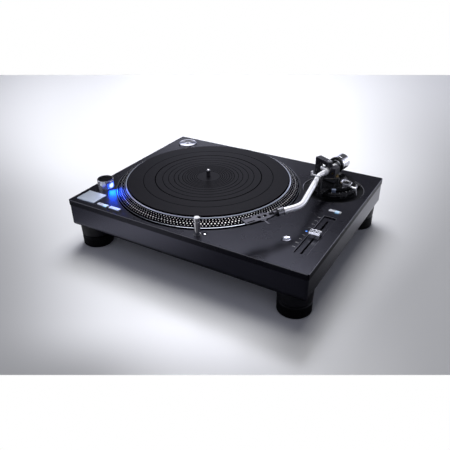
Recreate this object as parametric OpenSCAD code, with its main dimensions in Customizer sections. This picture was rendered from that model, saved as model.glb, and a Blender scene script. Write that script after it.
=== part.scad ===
// Direct drive turntable with an S-shaped tonearm. Millimetres, +Z up.
// The origin is on the floor, under the middle of the cabinet.

/* [Cabinet] */
// Width of the panel between the platter well and the left edge
well_side = 12.5; // [11:0.5:20]
// Width of the panel between the platter well and the front or back edge
well_front = 7.75; // [7:0.25:14]
// Thickness of the top panel
panel_t = 10; // [9:0.5:13]
// Chamfer along the top panel's upper edges
panel_chamfer = 0.8; // [0.4:0.1:1.5]
// Height of the base body below the top panel
body_h = 42; // [38:1:50]
// Wall of the base body
body_wall = 6; // [4:0.5:6.2]
// Floor of the base body
body_floor = 6; // [4:0.5:6.5]
// Step of the base body behind the edge of the panel
body_step = 0.8; // [0.4:0.1:1]
// Rounding of the base body's lower edges
body_round = 10; // [6:1:12]
// Rounding of the cabinet's upright corners
corner_r = 4; // [2:0.5:8]
// Thickness of the inner casting under the panel
cast_t = 13; // [12:0.5:14]
// Depth of the platter well below the panel's underside
well_d = 8; // [7:0.5:8.5]

/* [Feet] */
// Distance of a foot's middle from the left or right edge
foot_in_x = 30; // [29:0.5:45]
// Distance of a foot's middle from the front or back edge
foot_in_y = 29.25; // [28.75:0.5:45]
// Radius of the adjustable foot
foot_r = 27; // [20:0.5:27.5]
// Height of the adjustable foot
foot_h = 21; // [16:0.5:25]
// Dark gap between the foot and its boss
foot_gap = 2.5; // [1.5:0.5:4]
// Height of the fixed boss above the foot
boss_h = 15; // [12:0.5:20]
// Radius of the threaded stud in the boss
stud_r = 5; // [4:0.5:6]

/* [Platter] */
// Radius of the rubber mat
mat_r = 147; // [140:0.5:160]
// Width of the bright ring round the mat
ring_w = 2.8; // [2:0.1:4]
// Width of the dotted bevel outside the ring
bevel_w = 16.2; // [12:0.2:18]
// Gap between the platter and its well
well_gap = 2; // [1.5:0.5:3]
// Height of the platter's outer edge above the panel
rim_h = 2.2; // [1.5:0.1:4]
// Height of the bright ring round the mat above the panel
ring_h = 11.6; // [10:0.1:14]
// Thickness of the rubber mat
mat_t = 3.9; // [2.5:0.1:5]
// Depth of the seat that the mat lies in
mat_seat = 1.6; // [1:0.1:2.5]
// Depth of the platter's skirt below the panel
skirt_d = 14; // [12:0.5:15]
// Thickness of the platter's web
web_t = 5; // [4:0.5:6]
// Radius of the platter's hub
hub_r = 74; // [73:0.5:80]

/* [Spindle and motor] */
// Radius of the record spindle
spindle_r = 3.6; // [3.5:0.05:3.65]
// Height of the spindle's tip above the panel
spindle_h = 28; // [24:0.5:34]
// Radius of the shaft in the bearing
shaft_r = 5; // [4:0.5:6]
// Radius of the bearing sleeve
sleeve_r = 9; // [8:0.5:12]
// Thickness of the motor base
motor_t = 8; // [6:0.5:9]
// Thickness of the stator board
board_t = 1.6; // [1.2:0.2:2]
// Number of stator coils
coil_n = 9; // [6:3:9]
// Outer radius of a stator coil
coil_r = 13; // [10:0.5:15]
// Height of a stator coil
coil_t = 5.4; // [4:0.2:6]
// Gap between the coils and the magnet
rotor_gap = 1; // [0.6:0.1:1.5]
// Outer radius of the rotor magnet
magnet_r = 70; // [66:0.5:71]
// Thickness of the rotor magnet
magnet_t = 6.5; // [5:0.5:7]
// Thickness of the rotor yoke
yoke_t = 2.5; // [2:0.5:3]

/* [Left controls] */
// Distance of the start button from the left edge
start_x = 10.5; // [9:0.5:14]
// Distance of the front buttons from the front edge
keys_y = 10.75; // [9:0.25:12]
// Width of the start button
start_w = 40; // [34:0.5:41]
// Depth of the start button
start_d = 33.5; // [28:0.5:36]
// Width of a speed button
speed_w = 22; // [18:0.5:23]
// Depth of a speed button
speed_d = 7.2; // [6:0.2:7.6]
// Gap between neighbouring front buttons
key_gap = 4.5; // [3:0.5:5]
// Height of a button above the panel
key_h = 1.5; // [1.3:0.1:2.5]
// Travel of a button
key_travel = 1.2; // [0.6:0.1:1.2]
// Running gap round a button
key_clear = 0.35; // [0.3:0.05:0.5]
// Distance of the strobe lamp from the left edge
strobe_x = 24.7; // [23:0.1:25]
// Distance of the strobe lamp from the front edge
strobe_y = 71.35; // [66:0.1:73]
// Radius of the strobe lamp's housing
strobe_r = 14.5; // [13:0.5:15]
// Height of the strobe lamp's housing
strobe_h = 17; // [15:0.5:22]
// Distance of the single-record adapter from the left edge
adapter_x = 35.8; // [30:0.1:40]
// Distance of the single-record adapter from the back edge
adapter_y = 32.35; // [28:0.1:36]
// Radius of the single-record adapter
adapter_r = 19.25; // [18.5:0.05:19.5]
// Depth of the adapter's recess in the panel
adapter_seat = 6; // [4:0.5:7]

/* [Right controls] */
// Distance of the pitch fader from the right edge
fader_x = 22.2; // [18:0.2:26]
// Distance of the pitch fader from the front edge
fader_y = 42.75; // [36:0.25:44]
// Width of the fader's trough
fader_w = 20.3; // [18:0.1:22]
// Width of the panel between the reset button and the arm hole
reset_clear = 23.9; // [20:0.1:30]
// Depth of the fader's trough
fader_d = 3; // [2:0.5:4]
// Width of the fader's slot
slot_w = 3.2; // [3:0.1:4]
// Width of the fader knob
knob_w = 17; // [15:0.5:17.5]
// Length of the fader knob
knob_l = 13; // [10:0.5:14]
// Height of the fader knob above the panel
knob_h = 7; // [5:0.5:9]
// Width of the reset button
reset_w = 21; // [18:0.5:22]
// Depth of the reset button
reset_d = 7.5; // [6:0.5:9]
// Gap between the fader's trough and the reset button
reset_gap = 16; // [12:0.5:18]
// Distance of the round button from the right edge
round_x = 65.9; // [60:0.1:70]
// Distance of the round button from the front edge
round_y = 68.45; // [60:0.05:75]
// Radius of the round button
round_r = 7.15; // [6:0.05:8]
// Distance of the target light from the spindle, to the right
light_x = 81.9; // [78:0.1:90]
// Distance of the target light from the front edge
light_y = 14.25; // [13.75:0.25:15.5]
// Radius of the target light
light_r = 5; // [4:0.1:5.2]
// Height of the raised target light
light_h = 31; // [28:0.5:34]
// Length of the target light held in its sleeve
light_held = 9; // [8:0.5:10]
// Way that the target light sinks
light_travel = 25; // [20:0.5:25]

/* [Tonearm base] */
// Distance of the arm base's middle from the right edge
arm_x = 65.15; // [62:0.05:68]
// Distance of the arm base's middle from the back edge
arm_y = 85.85; // [82:0.05:90]
// Radius of the arm base's hole in the panel
arm_hole_r = 53; // [51:0.5:54]
// Width of the panel between the platter well and the arm hole
arm_gap = 5; // [4:0.5:10]
// Depth of the arm base's recess
arm_seat = 3; // [2:0.5:4]
// Radius of the height ring
height_r = 41.5; // [39:0.5:41.5]
// Height of the height ring above the panel
height_h = 10.5; // [9:0.5:10.8]
// Radius of the fixed guide tube
guide_r = 30; // [29:0.5:32]
// Radius of the arm base's stem in the guide tube
stem_r = 25; // [24:0.5:26]
// Lower face of the arm base's plate above the panel
plate_z = 12; // [11.5:0.5:13]
// Thickness of the arm base's plate
plate_t = 5; // [4:0.5:5.5]
// Radius of the arm base's plate
plate_r = 34; // [33.5:0.5:36]
// Distance of the arm's pivot from the arm base's middle, left
pivot_dx = 10.1; // [8:0.1:12]
// Distance of the arm's pivot from the arm base's middle, front
pivot_dy = 4.4; // [3:0.1:6]
// Rise of the arm base
arm_rise = 6; // [4:0.5:6]
// Running clearance of shafts and pins
run = 0.05; // [0.02:0.01:0.08]

/* [Tonearm] */
// Height of the arm tube's axis above the panel
tube_h = 36.5; // [36:0.5:38]
// Radius of the arm tube
tube_r = 4.8; // [4.4:0.1:4.9]
// Reach of the stylus past the spindle
overhang = 15; // [12:0.5:18]
// Angle between the headshell and the line to the pivot
offset_a = 22; // [20:0.5:24]
// Angle of the arm in its rest, from straight ahead towards the platter
rest_a = 9.3; // [8:0.1:11]
// Distance of the first bend from the pivot
bend_1 = 33; // [31:0.5:35]
// Distance of the second bend from the stylus
bend_2_front = 88; // [82:0.5:94]
// Radius of the first bend
bend_r1 = 60; // [40:1:70]
// Radius of the second bend
bend_r2 = 38; // [30:1:45]
// Drop of the tilt bearings below the tube's axis
tilt_drop = 8.5; // [8:0.5:9]
// Height of the gimbal yoke's top above the arm tube's axis
yoke_over = 15.5; // [15:0.5:18]
// Distance of the yoke's post from the pivot
yoke_reach = 26; // [25:0.5:28]
// Direction of the yoke's post seen from the pivot
yoke_a = 152; // [146:1:156]
// Distance of the arm rest from the pivot
rest_f = 55; // [50:0.5:58]
// Highest tilt of the arm under the closed clamp
tilt_up = 4.5; // [3:0.5:4.5]
// Lowest tilt of the arm
tilt_down = 1.3; // [1:0.1:1.5]
// Radius of the counterweight
weight_r = 14; // [12:0.5:14]
// Length of the counterweight
weight_l = 22; // [20:0.5:26]
// Distance of the counterweight's dial from the pivot
weight_f = 24; // [23:0.5:26]
// Radius of the tracking force dial
dial_r = 14.5; // [12.5:0.5:14.5]
// Width of the headshell
shell_w = 17; // [16:0.5:19]
// Radius of the headshell's lock nut
nut_r = 6.6; // [6.2:0.1:7.5]

/* [Hidden] */
$fn = 96;

// Gap between fixed pieces that are set into each other
seat = 0.1;
// Gap between moving pieces that only pass each other
pass = 0.35;
// Steps in a rounded corner
arc_steps = 6;

// Platter, well and cabinet, from the mat outwards
ring_r = mat_r + ring_w;
platter_r = ring_r + bevel_w;
well_r = platter_r + well_gap;
plat_in = well_r + well_side;
cab_d = 2 * (well_r + well_front);
arm_cy = cab_d / 2 - arm_y;
arm_dx = sqrt(pow(well_r + arm_hole_r + arm_gap, 2) - pow(arm_cy, 2));
cab_w = plat_in + arm_dx + arm_x;

// Edges of the cabinet
left = -cab_w / 2;
right = cab_w / 2;
front = -cab_d / 2;
back = cab_d / 2;

// Levels from the floor up
body_z = foot_h + foot_gap + boss_h;
floor_z = body_z + body_floor;
panel_under = body_z + body_h;
panel_top = panel_under + panel_t;
cast_z = panel_under - cast_t;
well_z = panel_under - well_d;

// Platter and motor levels
plat_x = left + plat_in;
board_top = cast_z + board_t;
coil_top = board_top + coil_t;
magnet_z = coil_top + rotor_gap;
yoke_z = magnet_z + magnet_t;
hub_z = yoke_z + yoke_t;
mat_z = panel_top + ring_h - mat_seat;
web_z = mat_z - web_t;
motor_z = cast_z - motor_t;
motor_hole_r = hub_r + 8;
motor_r = motor_hole_r + 6;
boss_bottom = floor_z + 0.5;
pad_z = boss_bottom + 2.5;
pad_t = 1.5;
sleeve_top = magnet_z + 4;
shaft_gap = 0.3;

// Bottom of the buttons and the switches under them
key_depth = 7.2;
switch_h = panel_t - key_depth - key_travel - 0.2;
key_front = front + keys_y;
speed_33_x = left + start_x + start_w + key_gap + 2.5;
speed_45_x = speed_33_x + speed_w + key_gap;

// Pitch fader
fader_left = right - fader_x - fader_w;
fader_mid_x = fader_left + fader_w / 2;
fader_front = front + fader_y;
reset_top = arm_cy - arm_hole_r - reset_clear;
fader_l = reset_top - reset_d - reset_gap - fader_front;
slot_end = 4;
slot_l = fader_l - 14.5;
fader_travel = slot_l / 2 - 7;
slot_mid_y = fader_front + slot_end + slot_l / 2;
stem_w = 2.4;
stem_l = 5;
fader_stem_d = 6;
fader_wall = 5;
fader_body_h = 16;
reset_y = fader_front + fader_l + reset_gap;

// Target light
light_px = plat_x + light_x;
light_py = front + light_y;
light_wall = 1.1;
light_bore = light_r + run;
light_sleeve_r = light_bore + light_wall;
light_sleeve_l = light_held + light_travel - 2;
light_key = [light_px + 8.9, light_py + 6.7];
light_key_r = 2.4;
light_dish_r = 4.5;
light_dish_d = 1.2;

// Arm base and pivot
arm_cx = right - arm_x;
piv_x = arm_cx - pivot_dx;
piv_y = arm_cy - pivot_dy;
plate_top = plate_z + plate_t;
guide_top = height_h - 1.5;
index_a = -70;
index_w = 7;
index_l = 5.5;
dial_dx = 34.2;
skate_r = 10;
skate_h = 4.2;
cue_a = -13;
lock_a = 38;
lock_r = 47;

// S-shaped tube, in the arm's own plane
arm_l = norm([piv_x - plat_x, piv_y]) + overhang;
bend_2 = arm_l - bend_2_front;
bend_s = (arm_l - bend_2) * tan(offset_a);
turn_1 = atan2(bend_s, bend_2 - bend_1);
turn_2 = turn_1 + offset_a;
mid_l = norm([bend_2 - bend_1, bend_s]);
cut_1 = bend_r1 * tan(turn_1 / 2);
cut_2 = bend_r2 * tan(turn_2 / 2);
front_l = (arm_l - bend_2) / cos(offset_a);
shell_rear = 45;
shell_nose = 8;
neck_l = 8;
nut_l = 12;
tube_end = shell_rear + neck_l;
stub_r = 4;
stub_end = weight_f + weight_l + 8;

// Gimbal
gimbal_in = 7.3;
gimbal_out = 17;
gimbal_left = 10;
gimbal_f = 8;
gimbal_base = tube_h - plate_top - 1.2;
gimbal_roof = tube_r + 1.1;
gimbal_top = gimbal_roof + 2.1;
bar_z = tube_h + gimbal_top + 0.5;
yoke_top = tube_h + yoke_over;
pin_r = 1.5;
top_pin_r = 2.5;
low_pin_r = 4;
post_w = 11.8;
post_t = 7;
rest_gap = rest_f * sin(tilt_down) + pass;
clamp_gap = rest_f * sin(tilt_up) + pass;
clamp_t = 2;
rest_w = 4;
rest_l = 6;
rest_s = (rest_f + rest_l / 2 - bend_1) * tan(turn_1) + tube_r / cos(turn_1) + 2 * pass;
clamp_axis_z = tube_r + clamp_gap + clamp_t / 2;
rail_r = 25;

// Counterweight
core_r = 8;
core_l = weight_l - 4;
dial_t = 4.5;
core_front = weight_f + dial_t + 1.5;
band_l = dial_t + weight_l / 4 - 0.5;
band_d = 0.6;

// Points of a rectangle with rounded corners, round the origin
function rounded_rect(w, d, r) = [for (q = [0:3], k = [0:arc_steps])
    let (a = 90 * (q + k / arc_steps), sx = (q == 0 || q == 3) ? 1 : -1, sy = q < 2 ? 1 : -1)
    [sx * (w / 2 - r) + r * cos(a), sy * (d / 2 - r) + r * sin(a)]];

// Upright section of the base body, rounded at its two lower edges
function tray_section(w, z0, z1, r) = concat(
    [[w / 2, z1], [-w / 2, z1]],
    [for (k = [0:arc_steps]) let (a = 180 + 90 * k / arc_steps)
        [-w / 2 + r + r * cos(a), z0 + r + r * sin(a)]],
    [for (k = [0:arc_steps]) let (a = 270 + 90 * k / arc_steps)
        [w / 2 - r + r * cos(a), z0 + r + r * sin(a)]]);

// Upright section of the panel, chamfered at its two upper edges
function slab_section(w, z0, z1, c) = [[-w / 2, z0], [w / 2, z0], [w / 2, z1 - c], [w / 2 - c, z1],
    [-w / 2 + c, z1], [-w / 2, z1 - c]];

// Plan of a tongue of half width r with a round end at x = l
function tongue(l, r) = concat([[0, -r]],
    [for (k = [0:2 * arc_steps]) let (a = -90 + 90 * k / arc_steps) [l + r * cos(a), r * sin(a)]], [[0, r]]);

// Solid whose front and side sections and whose plan are all given
module sectioned(across, along, plan, w, d, h) {
    intersection() {
        rotate([90, 0, 0]) linear_extrude(d + 2, center = true) polygon(across);
        rotate([90, 0, 90]) linear_extrude(w + 2, center = true) polygon(along);
        linear_extrude(h) polygon(plan);
    }
}

module base_outer() {
    w = cab_w - 2 * body_step;
    d = cab_d - 2 * body_step;
    sectioned(tray_section(w, body_z, panel_under, body_round),
        tray_section(d, body_z, panel_under, body_round), rounded_rect(w, d, corner_r), w, d, panel_top);
}

// Copies for the four feet
module at_feet() {
    for (x = [left + foot_in_x, right - foot_in_x], y = [front + foot_in_y, back - foot_in_y])
        translate([x, y, 0]) children();
}

// Copies for the screws that hold the casting to the base body
column_in = 18;
column_r = 6;
screw_r = 2;
screw_head_r = 4;
screw_head_h = 2.4;
screw_bite = 7;
module at_columns() {
    for (x = [left + 75, right - 75], y = [front + column_in, back - column_in])
        translate([x, y, 0]) children();
}

// Places children in the frame of the arm: X forward along the arm, Y outward, Z up
module on_arm() {
    translate([piv_x, piv_y, panel_top + tube_h]) rotate([0, 0, -90 - rest_a]) children();
}

// Places children on the headshell's axis, d before the stylus
module on_shell(d) {
    on_arm() translate([arm_l - d * cos(offset_a), d * sin(offset_a), 0]) rotate([0, 0, -offset_a]) children();
}

module on_arm_base() {
    translate([arm_cx, arm_cy, panel_top]) children();
}

// Key cap in a rectangular hole, with its corner at x, y
module key_cap(x, y, w, d) {
    translate([x + w / 2, y + d / 2, panel_top - key_depth]) {
        linear_extrude(key_depth + key_h - 0.4) polygon(rounded_rect(w, d, 1.2));
        linear_extrude(key_depth + key_h) polygon(rounded_rect(w - 0.8, d - 0.8, 1));
    }
}

module key_hole(x, y, w, d) {
    translate([x + w / 2, y + d / 2, panel_under - 1])
        linear_extrude(panel_t + 2) polygon(rounded_rect(w + 2 * key_clear, d + 2 * key_clear, 1.5));
}

module upright_hole(x, y, r, z0, z1) {
    translate([x, y, z0]) cylinder(r = r, h = z1 - z0);
}

// Aluminium top panel with the platter well, the arm hole and the control cut-outs
module top_panel() color("#26272b") difference() {
    sectioned(slab_section(cab_w, panel_under, panel_top, panel_chamfer),
        slab_section(cab_d, panel_under, panel_top, panel_chamfer),
        rounded_rect(cab_w, cab_d, corner_r), cab_w, cab_d, panel_top + 1);
    upright_hole(plat_x, 0, well_r, panel_under - 1, panel_top + 1);
    translate([plat_x, 0, panel_top - 0.8]) cylinder(r1 = well_r, r2 = well_r + 0.9, h = 0.9);
    upright_hole(arm_cx, arm_cy, arm_hole_r, panel_under - 1, panel_top + 1);
    translate([arm_cx, arm_cy, panel_top - 1.2]) cylinder(r1 = arm_hole_r, r2 = arm_hole_r + 1.3, h = 1.3);
    upright_hole(left + adapter_x, back - adapter_y, adapter_r + pass, panel_top - adapter_seat, panel_top + 1);
    upright_hole(left + strobe_x, front + strobe_y, strobe_r - 4 + seat, panel_under - 1, panel_top + 1);
    key_hole(left + start_x, key_front, start_w, start_d);
    key_hole(speed_33_x, key_front, speed_w, speed_d);
    key_hole(speed_45_x, key_front, speed_w, speed_d);
    key_hole(fader_left, reset_y, reset_w, reset_d);
    upright_hole(right - round_x, front + round_y, round_r + key_clear, panel_under - 1, panel_top + 1);
    upright_hole(light_px, light_py, light_sleeve_r + seat, panel_under - 1, panel_top + 1);
    upright_hole(light_key[0], light_key[1], light_key_r + key_clear, panel_under - 1, panel_top + 1);
    upright_hole(light_key[0], light_key[1], light_dish_r, panel_top - light_dish_d, panel_top + 1);
    translate([fader_left - seat, fader_front - seat, panel_under - 1])
        cube([fader_w + 2 * seat, fader_l + 2 * seat, panel_t + 2]);
    trough_edge();
    bridge_seams();
}

// Chamfer round the mouth of the fader's trough
trough_chamfer = 0.7;
function flare(w, c) = [[-w / 2, -c], [w / 2, -c], [w / 2 + 2 * c, c], [-w / 2 - 2 * c, c]];
module trough_edge() translate([fader_mid_x, fader_front + fader_l / 2, panel_top]) intersection() {
    rotate([90, 0, 0]) linear_extrude(fader_l + 20, center = true) polygon(flare(fader_w, trough_chamfer));
    rotate([90, 0, 90]) linear_extrude(fader_w + 20, center = true) polygon(flare(fader_l, trough_chamfer));
}

// Two fine arc seams in the panel round the arm hole, next to the platter well
seam_r = arm_hole_r + 15;
seam_w = 0.5;
seam_d = 0.6;
module bridge_seams() {
    for (a = [[150, 172.5], [232.5, 246]])
        on_arm_base() rotate([0, 0, a[0]]) rotate_extrude(angle = a[1] - a[0])
            translate([seam_r - seam_w / 2, -seam_d]) square([seam_w, 2]);
}

// Heavy base body: an open tray with columns for the casting and windows for the sockets
module base_body() color("#1f2024") difference() {
    union() {
        difference() {
            base_outer();
            translate([left + body_step + body_wall, front + body_step + body_wall, floor_z])
                cube([cab_w - 2 * (body_step + body_wall), cab_d - 2 * (body_step + body_wall), body_h]);
        }
        at_columns() translate([0, 0, floor_z - 1]) cylinder(r = column_r, h = cast_z - floor_z + 1);
    }
    at_columns() translate([0, 0, body_z - 1]) cylinder(r = screw_r + seat, h = body_h);
    at_columns() translate([0, 0, body_z - 1]) cylinder(r = screw_head_r + seat, h = screw_head_h + 1.4);
    translate([inlet_x - inlet_w / 2 - seat, back - 20, inlet_z - seat])
        cube([inlet_w + 2 * seat, 30, inlet_h + 2 * seat]);
    translate([phono_x - phono_w / 2, back - 20, phono_z]) cube([phono_w, 30, phono_h]);
}

// Inner casting: closes the tray, forms the platter well and carries the motor
module cast_chassis() color("#5b5d61") {
    edge = body_step + body_wall + 0.5;
    difference() {
        translate([left + edge, front + edge, cast_z]) cube([cab_w - 2 * edge, cab_d - 2 * edge, cast_t]);
        upright_hole(plat_x, 0, well_r + 1.5, well_z, panel_top);
        upright_hole(plat_x, 0, motor_hole_r, cast_z - 1, panel_top);
        upright_hole(arm_cx, arm_cy, guide_r + 1, cast_z - 1, panel_top);
        upright_hole(light_px, light_py, light_sleeve_r + 0.4, cast_z - 1, panel_top);
        translate([fader_left + fader_wall - 0.4 - 1, fader_front - 1, cast_z - 1])
            cube([fader_w - 2 * fader_wall + 2 * 1.4, fader_l - 2, cast_t + 2]);
        at_columns() translate([0, 0, cast_z - 1]) cylinder(r = screw_r + seat, h = screw_bite + 2);
        translate([inlet_x - inlet_w / 2 - 0.5, back - body_step - inlet_l - 0.5, cast_z - 1])
            cube([inlet_w + 1, inlet_l + 1, inlet_z + inlet_h + 1.5 - cast_z]);
        translate([phono_x - phono_w / 2 - 3.5, back - edge - 3, cast_z - 1])
            cube([phono_w + 7, 6, phono_z + phono_h + 4.5 - cast_z]);
    }
}

// Four flared bosses under the base body that take the feet's studs
boss_flare = 0.8;
module foot_bosses() color("#17181b") difference() {
    at_feet() translate([0, 0, foot_h + foot_gap]) {
        cylinder(r1 = foot_r, r2 = foot_r + boss_flare, h = boss_h);
        translate([0, 0, boss_h]) cylinder(r = foot_r + boss_flare, h = body_round / 2);
    }
    base_outer();
    at_feet() translate([0, 0, foot_h]) cylinder(r = stud_r + run, h = boss_h - 2);
}

// Adjustable foot with a ribbed grip, a stepped neck in the dark gap and a threaded stud
rib_n = 60;
rib_r = 0.7;
module foot() color("#141518") difference() {
    rotate_extrude() polygon([[0, 0], [foot_r - 2, 0], [foot_r, 2],
        [foot_r, foot_h - 1.5], [foot_r - 1.5, foot_h], [foot_r - 6, foot_h],
        [foot_r - 6, foot_h + foot_gap - shaft_gap], [stud_r, foot_h + foot_gap - shaft_gap],
        [stud_r, foot_h + boss_h - 5], [stud_r - 1, foot_h + boss_h - 4], [0, foot_h + boss_h - 4]]);
    for (k = [0:rib_n - 1]) rotate([0, 0, 360 * k / rib_n]) translate([foot_r + rib_r / 2, 0, 4])
        cylinder(r = rib_r, h = foot_h - 7);
}

module foot_fl() translate([left + foot_in_x, front + foot_in_y, 0]) foot();
module foot_fr() translate([right - foot_in_x, front + foot_in_y, 0]) foot();
module foot_rl() translate([left + foot_in_x, back - foot_in_y, 0]) foot();
module foot_rr() translate([right - foot_in_x, back - foot_in_y, 0]) foot();

// Motor base under the well, with the boss of the main bearing
module motor_base() color("#8a8c90") translate([plat_x, 0, 0]) difference() {
    union() {
        translate([0, 0, motor_z]) cylinder(r = motor_r, h = motor_t);
        translate([0, 0, boss_bottom]) cylinder(r = sleeve_r + 6, h = motor_z - boss_bottom + 1);
    }
    translate([0, 0, pad_z]) cylinder(r = sleeve_r + run, h = panel_top);
}

module thrust_pad() color("#d8d2c0")
    translate([plat_x, 0, pad_z]) cylinder(r = sleeve_r, h = pad_t);

module bearing_sleeve() color("#b08d57") translate([plat_x, 0, pad_z + pad_t]) difference() {
    cylinder(r = sleeve_r, h = sleeve_top - pad_z - pad_t);
    translate([0, 0, -1]) cylinder(r = shaft_r + run, h = panel_top);
}

module stator_board() color("#1f5a34") translate([plat_x, 0, cast_z]) difference() {
    cylinder(r = motor_hole_r - 0.5, h = board_t);
    translate([0, 0, -1]) cylinder(r = sleeve_r + 1, h = board_t + 2);
}

// Ring of flat wound coils on the stator board
coil_pitch_r = 52;
module stator_coils() color("#b4672f") for (k = [0:coil_n - 1])
    translate([plat_x, 0, board_top]) rotate([0, 0, 360 * k / coil_n]) translate([coil_pitch_r, 0, 0])
        difference() {
            cylinder(r = coil_r, h = coil_t);
            translate([0, 0, -1]) cylinder(r = coil_r - 8, h = coil_t + 2);
        }

// Flat magnet ring and its steel yoke, hung under the platter's hub
module rotor_magnet() color("#4a4b50") translate([plat_x, 0, magnet_z]) difference() {
    cylinder(r = magnet_r, h = magnet_t);
    translate([0, 0, -1]) cylinder(r = coil_pitch_r - 18, h = magnet_t + 2);
}

module rotor_yoke() color("#9a9ca0") translate([plat_x, 0, yoke_z]) difference() {
    cylinder(r = magnet_r + 2, h = yoke_t);
    translate([0, 0, -1]) cylinder(r = sleeve_r + 2, h = yoke_t + 2);
}

// Cast platter: skirt, bright lower edge, dotted bevel, bright ring and the mat's seat
edge_lip = 1.6;
module platter() color("#3a3b3f") translate([plat_x, 0, 0]) rotate_extrude() polygon([
    [platter_r, panel_top - skirt_d], [platter_r, panel_top + rim_h],
    [platter_r - edge_lip, panel_top + rim_h + 0.5], [ring_r + 0.7, panel_top + ring_h - 0.7],
    [ring_r, panel_top + ring_h], [mat_r + 0.4, panel_top + ring_h], [mat_r + 0.4, mat_z],
    [shaft_r + run, mat_z], [shaft_r + run, hub_z], [hub_r, hub_z], [hub_r + 4, web_z],
    [platter_r - 10, web_z], [platter_r - 6, web_z - 6], [platter_r - 6, panel_top - skirt_d]]);

// Rubber ring bonded under the platter's web against ringing
module damping_ring() color("#1b1b1d") translate([plat_x, 0, web_z - 4]) difference() {
    cylinder(r = platter_r - 16, h = 4);
    translate([0, 0, -1]) cylinder(r = hub_r + 8, h = 6);
}

// Rubber mat with a bold groove, finer grooves inside it and a chamfered rim
groove_d = 0.7;
groove_radii = [118, 97, 83.5, 73, 63, 55, 47.5, 43, 38.5, 34, 30, 26, 22];
module platter_mat() color("#232326") translate([plat_x, 0, mat_z]) rotate_extrude() polygon(concat(
    [[spindle_r + 0.3, 0], [mat_r, 0], [mat_r, mat_t - 0.8], [mat_r - 0.8, mat_t]],
    [for (r = groove_radii, k = [1, 0, -1]) let (w = r == 97 ? 1.1 : 0.6)
        [r + k * w, mat_t - (k == 0 ? groove_d : 0)]],
    [[spindle_r + 0.3, mat_t]]));

// Shaft and record spindle in one turned piece, with a domed tip
module spindle() color("#d9dadd") translate([plat_x, 0, 0]) rotate_extrude() polygon(concat(
    [[0, pad_z + pad_t + shaft_gap], [shaft_r, pad_z + pad_t + shaft_gap], [shaft_r, mat_z],
        [spindle_r - 0.3, mat_z], [spindle_r - 0.3, mat_z + mat_t + 0.2],
        [spindle_r, mat_z + mat_t + 0.3], [spindle_r, panel_top + spindle_h - 2.4]],
    [for (k = [1:arc_steps]) let (a = 90 * k / arc_steps)
        [spindle_r * cos(a), panel_top + spindle_h - 2.4 + 2.4 * sin(a)]]));

// Main board and power supply on the tray's floor, each on its own plate
main_w = 150;
main_d = 50;
main_gap = 15;
chip_w = 22;
chip_d = 16;
supply_w = 58;
supply_d = 90;
supply_in = 50;
supply_front = 30;
board_h = 2;
chip_h = 3;
choke_w = 36;
choke_h = 9;
choke_in = 10;
can_r = 7;
can_h = 8;
can_pitch = 20;
module circuit_boards() color("#2a6b3c") {
    inside = body_step + body_wall;
    translate([plat_x - main_w / 2, back - inside - main_gap - main_d, floor_z]) {
        cube([main_w, main_d, board_h]);
        for (k = [0:3]) translate([(k + 0.5) * main_w / 4 - chip_w / 2, (main_d - chip_d) / 2, board_h])
            cube([chip_w, chip_d, chip_h]);
    }
    translate([right - inside - supply_in - supply_w, front + supply_front, floor_z]) {
        cube([supply_w, supply_d, board_h]);
        translate([(supply_w - choke_w) / 2, choke_in, board_h]) cube([choke_w, choke_w, choke_h]);
        for (k = [-1, 1]) translate([(supply_w + k * can_pitch) / 2, supply_d - 3 * can_r, board_h])
            cylinder(r = can_r, h = can_h);
    }
}

// Mains inlet: a deep socket with three blades, open at the back
inlet_x = left + 110;
inlet_w = 28;
inlet_h = 20;
inlet_z = body_z + 10;
inlet_l = 19;
inlet_depth = 15;
module power_inlet() color("#101012") translate([inlet_x, back - body_step, inlet_z]) {
    difference() {
        translate([-inlet_w / 2, -inlet_l, 0]) cube([inlet_w, inlet_l - 0.2, inlet_h]);
        translate([-inlet_w / 2 + 2, -inlet_depth, 2]) cube([inlet_w - 4, inlet_depth + 1, inlet_h - 4]);
    }
    for (p = [[-7, 7], [0, 12], [7, 7]])
        translate([p[0] - 1, -inlet_depth - 1, p[1] - 2]) cube([2, 10, 4]);
}

// Pair of signal sockets and an earth post on a plate behind a window in the back wall
phono_x = right - 90;
phono_w = 58;
phono_h = 18;
phono_z = body_z + 11;
module phono_sockets() color("#b9bbbf")
    translate([phono_x, back - body_step - body_wall, phono_z + phono_h / 2]) {
        translate([-phono_w / 2 - 3, -2.05, -phono_h / 2 - 3]) cube([phono_w + 6, 2, phono_h + 6]);
        for (x = [-19, 0]) translate([x, -2, 0]) rotate([-90, 0, 0]) difference() {
            union() {
                cylinder(r = 6, h = 2.5);
                cylinder(r = 4.15, h = body_wall + 1.5);
            }
            translate([0, 0, 2.5]) cylinder(r = 1.6, h = body_wall + 2);
        }
        translate([19, -2, 0]) rotate([-90, 0, 0]) {
            cylinder(r = 2, h = body_wall + 1.5);
            translate([0, 0, 3]) cylinder(r = 4.5, h = 3.5, $fn = 12);
        }
    }

// Strobe lamp housing on the panel, with a recessed top for the power knob
knob_seat = 3.6;
power_r = strobe_r - 2.7;
strobe_turn = atan2(-front - strobe_y, plat_x - left - strobe_x) - 35;
window_w = 16;
module strobe_housing() color("#c3c5c9")
    translate([left + strobe_x, front + strobe_y, panel_top]) difference() {
    union() {
        rotate_extrude() polygon([[0, 0], [strobe_r, 0], [strobe_r, strobe_h - 0.8],
            [strobe_r - 0.8, strobe_h], [0, strobe_h]]);
        translate([0, 0, -panel_t]) cylinder(r = strobe_r - 4, h = panel_t + 1);
    }
    translate([0, 0, strobe_h - knob_seat]) cylinder(r = power_r + pass, h = knob_seat + 1);
    translate([0, 0, 3]) cylinder(r = 3 + run, h = strobe_h);
    rotate([0, 0, strobe_turn]) translate([strobe_r - 7, -window_w / 2, 2])
        cube([10, window_w, strobe_h - knob_seat - 4]);
}

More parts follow.
